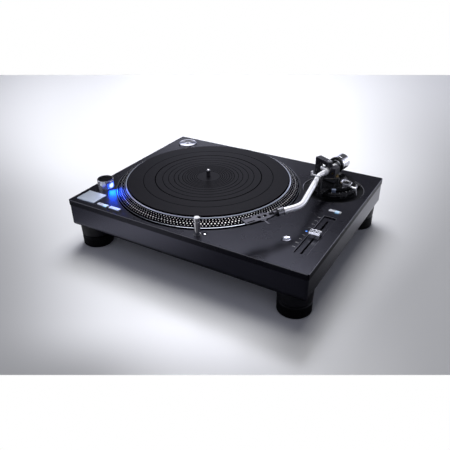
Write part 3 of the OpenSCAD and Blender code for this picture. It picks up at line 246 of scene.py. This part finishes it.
def lathe_marks(shader, radius, scale, depth):
    tree = shader.id_data
    marks = add_node(tree, "ShaderNodeTexNoise", noise_dimensions="1D", Scale=scale, Detail=2.0)
    feed(tree, marks.inputs["W"], radius)
    bump = add_node(tree, "ShaderNodeBump", Distance=depth)
    feed(tree, bump.inputs["Height"], marks.outputs["Fac"])
    feed(tree, shader.inputs["Normal"], bump.outputs["Normal"])


axle = middle("spindle")
platter_finish, platter_shader = new_finish("platter_finish", bevel_black, 1.0, 0.28)
tree = platter_finish.node_tree
platter_point = object_point(tree, (axle.x, axle.y, panel_top))
platter_up = axes(tree, platter_point)["Z"]
platter_out = from_axis(tree, platter_point)
rim = calc(tree, "MULTIPLY", calc(tree, "GREATER_THAN", platter_up, rim_height),
           calc(tree, "GREATER_THAN", platter_out, rim_radius))
lip = calc(tree, "MULTIPLY", calc(tree, "COMPARE", platter_up, lip_height, lip_margin),
           calc(tree, "GREATER_THAN", platter_out, lip_radius))
bright = calc(tree, "MAXIMUM", rim, lip)
feed(tree, platter_shader.inputs["Base Color"], blend(tree, bright, bevel_black, bare_edge))
feed(tree, platter_shader.inputs["Metallic"], bright)
platter_shader.inputs["Specular IOR Level"].default_value = 0.0
lathe_marks(platter_shader, platter_out, scale=4000.0, depth=2e-5)
dress(platter_finish, "platter")

# Strobe dots: four rows of small polished studs pressed into the bevel. Seen under the
# lamp, one row stands still at each speed. The third row is the largest.
bevel_foot = Vector((0.1643, 0.0, 0.0027))
bevel_head = Vector((0.1505, 0.0, 0.0109))
bevel_slope = math.atan2(bevel_head.z - bevel_foot.z, bevel_foot.x - bevel_head.x)
# Each row: its place up the bevel, the radius of a stud and how many there are
dot_rows = ((0.84, 0.00068, 189), (0.62, 0.0007, 183), (0.39, 0.00115, 180), (0.16, 0.00068, 177))
dot_flatness = 0.14


def trim_below(level):
    bpy.ops.object.mode_set(mode="EDIT")
    bpy.ops.mesh.select_all(action="SELECT")
    bpy.ops.mesh.bisect(
        plane_co=(0, 0, level), plane_no=(0, 0, 1), use_fill=True, clear_inner=True)
    bpy.ops.object.mode_set(mode="OBJECT")


def settle():
    bpy.ops.object.transform_apply(location=True, rotation=True, scale=True)


def ring_of(piece, count, step):
    bpy.ops.object.select_all(action="DESELECT")
    bpy.ops.object.empty_add(rotation=(0, 0, step))
    turn = bpy.context.object
    bpy.ops.object.select_all(action="DESELECT")
    piece.select_set(True)
    bpy.context.view_layer.objects.active = piece
    ring = piece.modifiers.new("ring", "ARRAY")
    ring.count = count
    ring.use_relative_offset = False
    ring.use_object_offset = True
    ring.offset_object = turn
    bpy.ops.object.modifier_apply(modifier="ring")
    bpy.data.objects.remove(turn)


dot_metal, _ = grained(
    "dot_metal", (0.92, 0.92, 0.93), metallic=1.0, roughness=0.34, scale=3000.0, depth=5e-7,
    spread=0.03)
for row, (share, radius, count) in enumerate(dot_rows, start=1):
    bpy.ops.object.select_all(action="DESELECT")
    bpy.ops.mesh.primitive_uv_sphere_add(segments=8, ring_count=4, radius=radius)
    dots = bpy.context.object
    dots.name = "strobe_dots_%d" % row
    trim_below(-0.25 * radius)
    dots.scale = (1.0, 1.0, dot_flatness)
    dots.rotation_euler = (0, bevel_slope, 0)
    dots.location = bevel_foot.lerp(bevel_head, share)
    settle()
    bpy.ops.object.shade_smooth()
    ring_of(dots, count, 2 * math.pi / count)
    dots.location = (axle.x, axle.y, panel_top)
    settle()
    dots.data.materials.append(dot_metal)
    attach(dots, "platter")

# Mat: a thick moulded rubber sheet with turned grooves, laid loose in the platter. Its
# skin is matt; down in the grooves it is painted darker and without sheen, as painted shade.
mat_rubber, mat_shader = grained(
    "mat_rubber", (0.0042, 0.0038, 0.0055), roughness=0.42, scale=1400.0, depth=8e-6, spread=0.03)
tree = mat_rubber.node_tree
mat_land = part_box("platter_mat")[1].z - 0.0002
# The grooves get painted shade: a darker colour and no sheen.
mat_groove_shade = calc(tree, "LESS_THAN", axes(tree, object_point(tree))["Z"], mat_land)
repaint(mat_shader, mat_groove_shade, (0.0008, 0.0008, 0.001))
mat_sheen = ranged(tree, mat_groove_shade, 0.0, 1.0, 0.04, 0.0)
feed(tree, mat_shader.inputs["Specular IOR Level"], mat_sheen)
dress(mat_rubber, "platter_mat", "damping_ring")

# Spindle: ground and polished steel, one piece with the motor shaft. It stands up
# through the platter and the mat, and centres the record.
spindle_steel, _ = grained(
    "spindle_steel", (0.3, 0.3, 0.31), metallic=1.0, roughness=0.08, scale=2500.0, depth=2e-6,
    spread=0.03)
dress(spindle_steel, "spindle")

# Strobe lamp: a bright turned housing on the panel, with a window that throws blue light
# on the dots. Its top edge is blacked and the black power knob lies in it and turns.
unlit = (0.0, 0.0, 0.0)
knob_black = (0.006, 0.006, 0.007)


def eased(tree, *ends):
    return ranged(tree, *ends, curve="SMOOTHSTEP")


def shine_round(shader, centre, near, far, core, edge, strength):
    tree = shader.id_data
    light = eased(tree, length(tree, object_point(tree, centre)), near, far, 1.0, 0.0)
    feed(tree, shader.inputs["Emission Color"], blend(tree, light, edge, core))
    shader.inputs["Emission Strength"].default_value = strength


housing_metal, housing_shader = grained(
    "housing_metal", (0.95, 0.95, 0.96), metallic=0.8, roughness=0.14, scale=1800.0, depth=6e-6,
    spread=0.04)
tree = housing_metal.node_tree
housing_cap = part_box("strobe_housing")[1].z - 0.0003
housing_up = axes(tree, object_point(tree))["Z"]
repaint(housing_shader, calc(tree, "GREATER_THAN", housing_up, housing_cap), knob_black)
window = middle("strobe_window")
# The housing round the window is painted with a blue glow: painted light from the lamp.
shine_round(housing_shader, window, near=0.004, far=0.014, core=(0.0, 0.06, 0.9), edge=unlit,
            strength=0.4)
lamp_blue, lamp_shader = new_finish("lamp_blue", (0.1, 0.3, 1.0), metallic=0.0, roughness=0.2)
shine_round(lamp_shader, window, near=0.003, far=0.0075, core=(0.7, 0.95, 1.6),
            edge=(0.0, 0.035, 0.6), strength=1.7)
knob_gloss, _ = grained(
    "knob_gloss", knob_black, roughness=0.12, scale=1200.0, depth=8e-6, spread=0.04)
dress(housing_metal, "strobe_housing")
dress(lamp_blue, "strobe_window")
dress(knob_gloss, "power_knob")

# Target light: a bright turned tube with a pale cap. It slides up out of a black sleeve
# that is set in the panel, when its small steel button is pressed.
bright_metal, bright_shader = grained(
    "bright_metal", (0.95, 0.95, 0.96), metallic=1.0, roughness=0.1, scale=1800.0, depth=4e-6,
    spread=0.03)
tree = bright_metal.node_tree
light_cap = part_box("target_light")[1].z - 0.0006
light_side = calc(tree, "LESS_THAN", axes(tree, object_point(tree))["Z"], light_cap)
feed(tree, bright_shader.inputs["Metallic"], light_side)
polished_steel, _ = grained(
    "polished_steel", (0.78, 0.78, 0.79), metallic=1.0, roughness=0.12, scale=2500.0, depth=4e-6,
    spread=0.04)
trough_black, _ = grained("trough_black", knob_black, roughness=0.5, scale=1200.0, depth=3e-5)
dress(bright_metal, "target_light")
dress(polished_steel, "light_button")
dress(trough_black, "light_sleeve")

# Buttons: brushed and clear anodised aluminium caps on small switches. The chosen speed
# and the reset key show a pale blue light at one end.
key_skin = {"metallic": 0.9, "roughness": 0.34, "scale": 1600.0, "depth": 1e-5, "spread": 0.05}
key_silver, _ = grained("key_silver", (0.58, 0.64, 0.71), **key_skin)
switch_black, _ = grained(
    "switch_black", (0.01, 0.01, 0.011), roughness=0.5, scale=900.0, depth=3e-5)
dress(key_silver, "start_button", "speed_45_button")
dress(switch_black, "key_switches")
key_light, key_glow = (0.25, 0.62, 1.0), 0.4
# Each lit key: its finish, its node, its colour and where the light starts and ends
lit_keys = (
    ("speed_key_lit", "speed_33_button", (0.6, 0.64, 0.7), 0.0135, 0.0212),
    ("reset_key_lit", "reset_button", (0.4, 0.41, 0.43), 0.011, 0.018),
)
for name, key, colour, light_start, light_end in lit_keys:
    finish, shader = grained(name, colour, **key_skin)
    tree = finish.node_tree
    light_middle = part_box(key)[0].x + (light_start + light_end) / 2
    light_half = (light_end - light_start) / 2
    key_along = axes(tree, object_point(tree))["X"]
    lit = calc(tree, "COMPARE", key_along, light_middle, light_half)
    feed(tree, shader.inputs["Emission Color"], blend(tree, lit, unlit, key_light))
    shader.inputs["Emission Strength"].default_value = key_glow
    dress(finish, key)

# Key numerals: printed dark on the two speed keys, at the end away from the light. They
# are a thin film of ink on the cap's face.
print_dark, _ = grained(
    "print_dark", (0.05, 0.05, 0.055), roughness=0.5, scale=1500.0, depth=2e-6)
figure_inset, figure_size, ink_half = 0.0055, 0.0042, 0.00001
for speed in ("33", "45"):
    key = "speed_%s_button" % speed
    key_low, key_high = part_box(key)
    figure_place = (
        key_low.x + figure_inset, (key_low.y + key_high.y) / 2, key_high.z + ink_half)
    bpy.ops.object.select_all(action="DESELECT")
    bpy.ops.object.text_add(location=figure_place)
    figure = bpy.context.object
    figure.data.body = speed
    figure.data.size = figure_size
    figure.data.align_x = "CENTER"
    figure.data.align_y = "CENTER"
    figure.data.extrude = ink_half
    bpy.ops.object.convert(target="MESH")
    figure = bpy.context.object
    figure.name = "key_figure_" + speed
    settle()
    figure.data.materials.clear()
    figure.data.materials.append(print_dark)
    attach(figure, key)

# Pitch fader: an aluminium knob on a flat stem, in a trough of the panel. Bands over
# the two grooves across its top, and their edges, are painted dark grey as shade.
groove_place, groove_half = 0.0018, 0.0012
fader_silver, fader_shader = grained(
    "fader_silver", (0.93, 0.93, 0.95), metallic=0.85, roughness=0.22, scale=1600.0, depth=6e-6,
    spread=0.04)
tree = fader_silver.node_tree
fader_along = axes(tree, object_point(tree, middle("fader_knob")))["Y"]
fader_groove_shade = calc(
    tree, "COMPARE", calc(tree, "ABSOLUTE", fader_along), groove_place, groove_half)
# The groove bands are painted dark: painted shade.
repaint(fader_shader, fader_groove_shade, (0.13, 0.14, 0.18))
dress(fader_silver, "fader_knob")

# Pitch scale: four short printed lines on each side of a small blue lamp, which is on
# while the speed is at its middle. The lamp's lens is pressed into the panel.
print_grey, _ = grained("print_grey", (0.6, 0.6, 0.62), roughness=0.5, scale=1500.0, depth=2e-6)
scale_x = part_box("fader_plate")[0].x - 0.0053
scale_y = -0.0702
scale_step = 0.0124
mark_long, mark_wide, mark_thick = 0.0052, 0.00045, 0.00003
for side_name, way in (("plus", 1), ("minus", -1)):
    first_mark = (scale_x, scale_y + way * scale_step, panel_top + 0.00002)
    bpy.ops.object.select_all(action="DESELECT")
    bpy.ops.mesh.primitive_plane_add(size=1.0, location=first_mark)
    marks = bpy.context.object
    marks.name = "pitch_marks_" + side_name
    marks.scale = (mark_long, mark_wide, 1.0)
    bpy.ops.object.transform_apply(location=False, rotation=False, scale=True)
    row = marks.modifiers.new("row", "ARRAY")
    row.count = 4
    row.use_relative_offset = False
    row.use_constant_offset = True
    row.constant_offset_displace = (0, way * scale_step, 0)
    bpy.ops.object.modifier_apply(modifier="row")
    body = marks.modifiers.new("body", "SOLIDIFY")
    body.thickness = mark_thick
    body.offset = 0.0
    bpy.ops.object.modifier_apply(modifier="body")
    settle()
    marks.data.materials.append(print_grey)
    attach(marks, "chassis")

lens_blue, lens_shader = new_finish("lens_blue", (0.03, 0.2, 0.8), metallic=0.0, roughness=0.2)
lens_shader.inputs["Emission Color"].default_value = (0.02, 0.22, 0.9, 1.0)
lens_shader.inputs["Emission Strength"].default_value = 0.6
lens_radius, lens_sunk, lens_flatness, lens_aside = 0.0018, 0.0006, 0.35, 0.0009
bpy.ops.object.select_all(action="DESELECT")
bpy.ops.mesh.primitive_uv_sphere_add(segments=24, ring_count=12, radius=lens_radius)
lens = bpy.context.object
lens.name = "pitch_lens"
trim_below(-lens_sunk)
lens.scale = (1.0, 1.0, lens_flatness)
lens.location = (scale_x - lens_aside, scale_y, panel_top)
settle()
bpy.ops.object.shade_smooth()
lens.data.materials.append(lens_blue)
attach(lens, "chassis")

# Adapter for large-hole records, and the round button: turned from aluminium bar, with
# fine lathe marks. Two dark fans are painted on each as painted reflection, fixed across
# the turned face. The adapter lies loose in its recess of the panel.
fan_way = (-0.52, 0.854, 0.0)
painted_fan_dark = (0.12, 0.13, 0.17)
# Each turned piece: its finish, its node, its colour, its roughness and the fans' edges
turned_pieces = (
    ("turned_silver", "adapter_45", (0.95, 0.95, 0.97), 0.17, 0.82, 0.99),
    ("button_turned", "round_button", (0.6, 0.6, 0.63), 0.2, 0.8, 0.97),
)


def along(tree, vector, direction):
    node = add_node(tree, "ShaderNodeVectorMath", operation="DOT_PRODUCT")
    feed(tree, node.inputs[0], vector)
    feed(tree, node.inputs[1], direction)
    return node.outputs["Value"]


for name, piece, colour, roughness, fan_low, fan_high in turned_pieces:
    finish, shader = grained(
        name, colour, metallic=1.0, roughness=roughness, scale=1600.0, depth=6e-6, spread=0.04)
    tree = finish.node_tree
    tangent = add_node(tree, "ShaderNodeTangent", direction_type="RADIAL", axis="Z")
    feed(tree, shader.inputs["Tangent"], tangent.outputs["Tangent"])
    shader.inputs["Anisotropic"].default_value = 0.3
    across_fan = calc(tree, "ABSOLUTE", along(tree, tangent.outputs["Tangent"], fan_way))
    # The dark fans are painted reflection, not made by the light.
    repaint(shader, eased(tree, across_fan, fan_low, fan_high, 0.0, 1.0), painted_fan_dark)
    dress(finish, piece)

# Arm base: black enamelled castings with a hard gloss, and satin steel levers. The ring
# raises the base in the guide tube, which is fixed in the panel's arm hole; the small
# grey tab points to the ring's scale.
arm_gloss, _ = grained(
    "arm_gloss", knob_black, roughness=0.16, scale=900.0, depth=1e-5, spread=0.05)
arm_black, _ = grained(
    "arm_black", (0.008, 0.008, 0.009), roughness=0.32, scale=1500.0, depth=3e-5)
index_grey, _ = grained(
    "index_grey", (0.16, 0.19, 0.27), roughness=0.4, scale=1200.0, depth=2e-5)
mount_black, mount_shader = grained(
    "mount_black", (0.003, 0.003, 0.0036), roughness=0.3, scale=1500.0, depth=1e-5, spread=0.05)
mount_shader.inputs["Specular IOR Level"].default_value = 0.15
yoke_satin, _ = grained(
    "yoke_satin", (0.02, 0.019, 0.026), roughness=0.3, scale=1500.0, depth=1e-5, spread=0.05)
satin_steel, _ = grained(
    "satin_steel", (0.9, 0.9, 0.91), metallic=0.85, roughness=0.34, scale=2500.0, depth=4e-6,
    spread=0.04)
brass_screw, _ = grained(
    "brass_screw", (0.5, 0.36, 0.14), metallic=1.0, roughness=0.25, scale=1500.0, depth=1e-5)
dress(arm_gloss, "height_ring", "arm_base")
dress(arm_black, "arm_rest", "lock_lever", "cue_lift", "pivot_carrier", "weight_dial", "weight_core")
dress(index_grey, "height_index")
dress(mount_black, "arm_mount")
dress(yoke_satin, "gimbal_yoke", "gimbal_block")
dress(satin_steel, "cue_lever", "clamp_lever")
dress(plated_steel, "pivot_cap")
dress(brass_screw, "bearing_screws")

# Height scale: fine lines printed in grey ink on the ring's top face, read against the
# grey tab as the ring turns.
ring = middle("height_ring")
ring_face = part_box("height_ring")[1].z


def mark_ring(name, body, centre, turn, size, radius, count, step):
    bpy.ops.object.select_all(action="DESELECT")
    bpy.ops.mesh.primitive_cube_add(size=1.0)
    marks = bpy.context.object
    marks.name = name
    marks.scale = size
    marks.location = (radius, 0, 0)
    settle()
    ring_of(marks, count, math.radians(step))
    marks.rotation_euler = [math.radians(angle) for angle in turn]
    marks.location = centre
    settle()
    marks.data.materials.append(print_grey)
    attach(marks, body)


mark_ring(
    "height_marks", "height_ring", centre=(ring.x, ring.y, ring_face), turn=(0, 0, -75),
    size=(0.0028, 0.0003, 0.00004), radius=0.0378, count=13, step=10)

# Anti-skate dial: a chromed rim round a black face, turned in one piece and left to turn
# on the arm base. Its lines are printed in the same grey ink.
skate = middle("antiskate_dial")
skate_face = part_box("antiskate_dial")[1].z - 0.0008
skate_chrome, skate_rim_radius = (0.85, 0.85, 0.86), 0.0073
skate_finish, skate_shader = new_finish("skate_finish", skate_chrome, 1.0, 0.14)
tree = skate_finish.node_tree
skate_out = from_axis(tree, object_point(tree, skate))
skate_rim = calc(tree, "GREATER_THAN", skate_out, skate_rim_radius)
feed(tree, skate_shader.inputs["Base Color"], blend(tree, skate_rim, knob_black, skate_chrome))
feed(tree, skate_shader.inputs["Metallic"], skate_rim)
lathe_marks(skate_shader, skate_out, scale=3000.0, depth=6e-6)
dress(skate_finish, "antiskate_dial")
mark_ring(
    "skate_marks", "antiskate_dial", centre=(skate.x, skate.y, skate_face), turn=(0, 0, 120),
    size=(0.0016, 0.00025, 0.00004), radius=0.0061, count=13, step=25)

# Tonearm: a drawn aluminium tube bent twice and clear coated, with a polished turned
# weight at its back. The headshell is dark anodised, painted darker at its edges and below
# as painted shade, and is held by the dark chromed nut.
arm_silver, _ = grained(
    "arm_silver", (0.96, 0.96, 0.97), metallic=0.35, roughness=0.36, scale=1500.0, depth=6e-6,
    spread=0.05)
weight_silver, _ = grained(
    "weight_silver", (0.95, 0.95, 0.97), metallic=0.95, roughness=0.1, scale=1500.0, depth=4e-6,
    spread=0.03)
nut_chrome, _ = grained(
    "nut_chrome", (0.14, 0.14, 0.15), metallic=0.9, roughness=0.25, scale=1500.0, depth=1e-5,
    spread=0.05)
shell_dark, shell_shader = grained(
    "shell_dark", (0.05, 0.049, 0.058), metallic=0.85, roughness=0.36, scale=1500.0, depth=1e-5)
tree = shell_dark.node_tree
# Faces that do not look up are painted near black: painted shade.
shell_underside_shade = calc(tree, "LESS_THAN", true_normal(tree)["Z"], 0.5)
repaint(shell_shader, shell_underside_shade, (0.003, 0.003, 0.0035))
dress(arm_silver, "arm_tube")
dress(weight_silver, "counterweight")
dress(nut_chrome, "lock_nut")
dress(shell_dark, "headshell")

# Tracking force dial: forty fine lines printed in grey ink round the rim of the black
# dial, which turns on the neck of the counterweight.
mark_ring(
    "dial_marks", "weight_dial", centre=middle("weight_dial"), turn=(90, 0, -9.3),
    size=(0.00004, 0.0003, 0.002), radius=0.0145, count=40, step=9)

# Back: a moulded mains inlet and plated signal sockets, recessed in the rear wall. Each
# socket has a moulded plastic collar, red on the right and pale on the left.
socket_black, _ = grained(
    "socket_black", (0.01, 0.01, 0.011), roughness=0.45, scale=900.0, depth=3e-5)
dress(socket_black, "power_inlet")
dress(plated_steel, "phono_sockets")
sockets = middle("phono_sockets")
collar_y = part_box("phono_sockets")[1].y - 0.004
collar_radius, collar_wall, collar_deep, collar_round = 0.006, 0.0018, 0.0025, 0.0003
collars = (("right", -0.019, (0.35, 0.01, 0.01)), ("left", 0.0, (0.6, 0.6, 0.6)))
for side_name, across_x, colour in collars:
    bpy.ops.object.select_all(action="DESELECT")
    bpy.ops.mesh.primitive_cylinder_add(vertices=48, radius=collar_radius, depth=collar_deep)
    collar = bpy.context.object
    collar.name = "socket_collar_" + side_name
    bpy.ops.object.mode_set(mode="EDIT")
    bpy.ops.mesh.select_mode(type="FACE")
    bpy.ops.mesh.select_all(action="DESELECT")
    bpy.ops.object.mode_set(mode="OBJECT")
    for face in collar.data.polygons:
        face.select = abs(face.normal.z) > 0.9
    bpy.ops.object.mode_set(mode="EDIT")
    bpy.ops.mesh.inset(thickness=collar_wall)
    bpy.ops.mesh.bridge_edge_loops()
    bpy.ops.object.mode_set(mode="OBJECT")
    edge = collar.modifiers.new("edge", "BEVEL")
    edge.width = collar_round
    edge.segments = 2
    bpy.ops.object.modifier_apply(modifier="edge")
    collar.rotation_euler = (math.radians(90), 0, 0)
    collar.location = (sockets.x + across_x, collar_y, sockets.z)
    settle()
    bpy.ops.object.shade_smooth_by_angle(angle=math.radians(35))
    collar_plastic, _ = grained(
        "socket_ring_" + side_name, colour, roughness=0.35, scale=900.0, depth=1e-5)
    collar.data.materials.append(collar_plastic)
    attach(collar, "chassis")

# Studio: a pale seamless paper floor, two broad lamps behind on the left, the strobe
# lamp's own blue light and a soft sky. The camera stands where the photo's did.
camera_place = (0.423555, -0.717212, 0.505585)
camera_heading, camera_dip, camera_roll = 31.29, 30.54, -0.95
camera_data = bpy.data.cameras.new("camera")
camera_data.lens = 41.145
camera_data.sensor_width = 36.0
camera = bpy.data.objects.new("camera", camera_data)
bpy.context.scene.collection.objects.link(camera)
camera.matrix_world = (
    Matrix.Translation(camera_place)
    @ Matrix.Rotation(math.radians(camera_heading), 4, "Z")
    @ Matrix.Rotation(math.radians(90 - camera_dip), 4, "X")
    @ Matrix.Rotation(math.radians(camera_roll), 4, "Z")
)
bpy.context.scene.camera = camera

bpy.ops.object.select_all(action="DESELECT")
bpy.ops.mesh.primitive_plane_add(size=30.0, location=(0, 0, 0))
floor = bpy.context.object
floor.name = "floor"

# The paper's colour holds a painted pool of light: pale in the middle and behind, with
# painted shade at both sides and in front. Across and height run from -1 to 1 over the
# picture taken by the camera above.
paper_white = (0.985, 0.99, 1.0)
floor_paper, floor_shader = new_finish("floor_paper", paper_white, 0.0, 0.3)
tree = floor_paper.node_tree
view = camera.matrix_world.to_3x3()
floor_point = object_point(tree, camera_place)
zoom = 2 * camera_data.lens / camera_data.sensor_width
depth = calc(tree, "MAXIMUM", along(tree, floor_point, -view.col[2]), 0.2)
across, height = [
    calc(tree, "MULTIPLY", calc(tree, "DIVIDE", along(tree, floor_point, axis), depth), zoom)
    for axis in (view.col[0], view.col[1])]
shift = calc(tree, "ADD", eased(tree, height, -0.6, 0.0, 0.22, 0.05),
             eased(tree, height, 0.1, 0.5, 0.0, 0.12))
side = calc(tree, "ABSOLUTE", calc(tree, "ADD", across, shift))
reach = eased(tree, height, -0.8, 0.5, 0.58, 0.98)
inner = calc(tree, "SUBTRACT", reach, 0.4)
outer = calc(tree, "ADD", reach, 0.25)
inner_shade = eased(tree, height, 0.1, 0.3, 0.9, 1.0)
outer_shade = eased(tree, height, 0.1, 0.7, 0.4, 0.6)
pool = eased(tree, side, inner, outer, inner_shade, outer_shade)
fore = eased(tree, height, -0.7, -0.42, 0.44, 1.0)
shade = calc(tree, "MULTIPLY", pool, eased(tree, side, 0.3, 1.0, fore, 1.0))

# Dark patches are painted on the paper in front on the right and beside the deck; they
# show only in its glossy sides, as painted reflection that goes from dark to pale.
floor_path = add_node(tree, "ShaderNodeLightPath").outputs
ground = add_node(tree, "ShaderNodeTexCoord").outputs["Object"]
ground_x, ground_y, _ = axes(tree, ground)
left_end = eased(tree, ground_x, -0.9, -0.5, 1.0, 0.1)
before = calc(tree, "MULTIPLY", eased(tree, ground_x, -0.34, -0.16, left_end, 1.0),
              eased(tree, ground_x, -0.26, 0.05, 1.0, 0.03))
beside = eased(tree, ground_y, -0.16, 0.26, 0.04, 1.0)
painted_reflection_patches = eased(tree, ground_y, -0.2, -0.16, before, beside)
mirrored = eased(tree, floor_path["Is Glossy Ray"], 0.0, 1.0, 1.0, painted_reflection_patches)
shade = calc(tree, "MULTIPLY", shade, mirrored)
feed(tree, floor_shader.inputs["Base Color"], blend(tree, shade, unlit, paper_white))

# The lit paper ends in a straight edge in front and behind, and fades at both sides and
# far away; past it the camera sees plain white, which lights nothing.
paper_edge = 0.6667
edge = calc(tree, "GREATER_THAN", calc(tree, "ABSOLUTE", height), paper_edge)
beyond = calc(tree, "MAXIMUM", edge,
              eased(tree, calc(tree, "ABSOLUTE", across), 1.02, 1.7, 0.0, 1.0))
far = eased(tree, length(tree, ground), 1.6, 3.2, 0.0, 1.0)
bare = calc(tree, "MULTIPLY", calc(tree, "MAXIMUM", beyond, far), floor_path["Is Camera Ray"])
white = add_node(tree, "ShaderNodeEmission", Strength=1.0)
choice = add_node(tree, "ShaderNodeMixShader")
feed(tree, choice.inputs["Fac"], bare)
feed(tree, choice.inputs[1], floor_shader.outputs["BSDF"])
feed(tree, choice.inputs[2], white.outputs["Emission"])
feed(tree, tree.nodes["Material Output"].inputs["Surface"], choice.outputs["Shader"])
floor.data.materials.append(floor_paper)


def area_lamp(name, place, target, width, height, power, colour=(1.0, 1.0, 1.0)):
    data = bpy.data.lights.new(name, "AREA")
    data.shape = "RECTANGLE"
    data.size = width
    data.size_y = height
    data.energy = power
    data.color = colour
    lamp = bpy.data.objects.new(name, data)
    bpy.context.scene.collection.objects.link(lamp)
    lamp.location = place
    aim = Vector(target) - Vector(place)
    lamp.rotation_euler = aim.to_track_quat("-Z", "Y").to_euler()


area_lamp("key_lamp", (-0.3, 0.66, 1.85), (0.0, -0.02, 0.05), width=1.3, height=1.3, power=37.0)
area_lamp("back_lamp", (-0.76, 1.3, 1.8), (0.05, -0.05, 0.09), width=1.1, height=0.65, power=14.0,
          colour=(0.9, 0.92, 1.08))
housing = middle("strobe_housing")
area_lamp("strobe_glow", (housing.x + 0.0165, housing.y - 0.003, panel_top + 0.007),
          (housing.x + 0.05, housing.y - 0.034, panel_top + 0.006), width=0.014, height=0.01,
          power=0.06, colour=(0.0, 0.07, 1.0))

# The sky is dim, least so towards the camera. Glossy pieces also see a pale horizon on the
# right, a belt from front to back and a soft card on the left; the camera sees white.
world = bpy.data.worlds.new("studio")
bpy.context.scene.world = world
world.use_nodes = True
tree = world.node_tree
sky_path = add_node(tree, "ShaderNodeLightPath").outputs
look = add_node(tree, "ShaderNodeTexCoord").outputs["Generated"]
look_up = axes(tree, look)["Z"]
to_front = along(tree, look, (0.51, -0.86, 0.0))
to_right = along(tree, look, (0.86, 0.51, 0.0))
to_left = along(tree, look, (-0.74, -0.67, 0.0))
upper = eased(tree, to_front, -0.3, 0.5, 0.05, 0.3)
horizon = eased(tree, to_right, -0.3, 0.8, 0.2, 2.4)
horizon_top = eased(tree, to_right, 0.5, 0.8, 0.3, 0.62)
low = eased(tree, look_up, 0.08, horizon_top, horizon, 0.0)
belt = calc(tree, "MULTIPLY", eased(tree, to_right, -0.24, -0.06, 0.0, 1.9),
            eased(tree, to_right, -0.01, 0.22, 1.0, 0.0))
band = eased(tree, look_up, 0.2, 0.6, belt, 0.0)
mirrored = calc(tree, "MAXIMUM", sky_path["Is Glossy Ray"], sky_path["Is Transmission Ray"])
glow = calc(tree, "MULTIPLY", calc(tree, "MAXIMUM", low, band), mirrored)
card = calc(tree, "MULTIPLY", eased(tree, to_left, 0.6, 0.9, 0.0, 1.4), sky_path["Is Glossy Ray"])
sky = tree.nodes["Background"]
sky.inputs["Color"].default_value = (0.88, 0.9, 1.08, 1.0)
feed(tree, sky.inputs["Strength"],
     calc(tree, "MAXIMUM", calc(tree, "MAXIMUM", upper, card), glow))
backdrop = add_node(tree, "ShaderNodeBackground", Color=(1.0, 1.0, 1.0, 1.0), Strength=1.0)
backdrop_seen = add_node(tree, "ShaderNodeMixShader")
feed(tree, backdrop_seen.inputs["Fac"], sky_path["Is Camera Ray"])
feed(tree, backdrop_seen.inputs[1], sky.outputs["Background"])
feed(tree, backdrop_seen.inputs[2], backdrop.outputs["Background"])
feed(tree, tree.nodes["World Output"].inputs["Surface"], backdrop_seen.outputs["Shader"])
bpy.context.scene.view_settings.view_transform = "Standard"
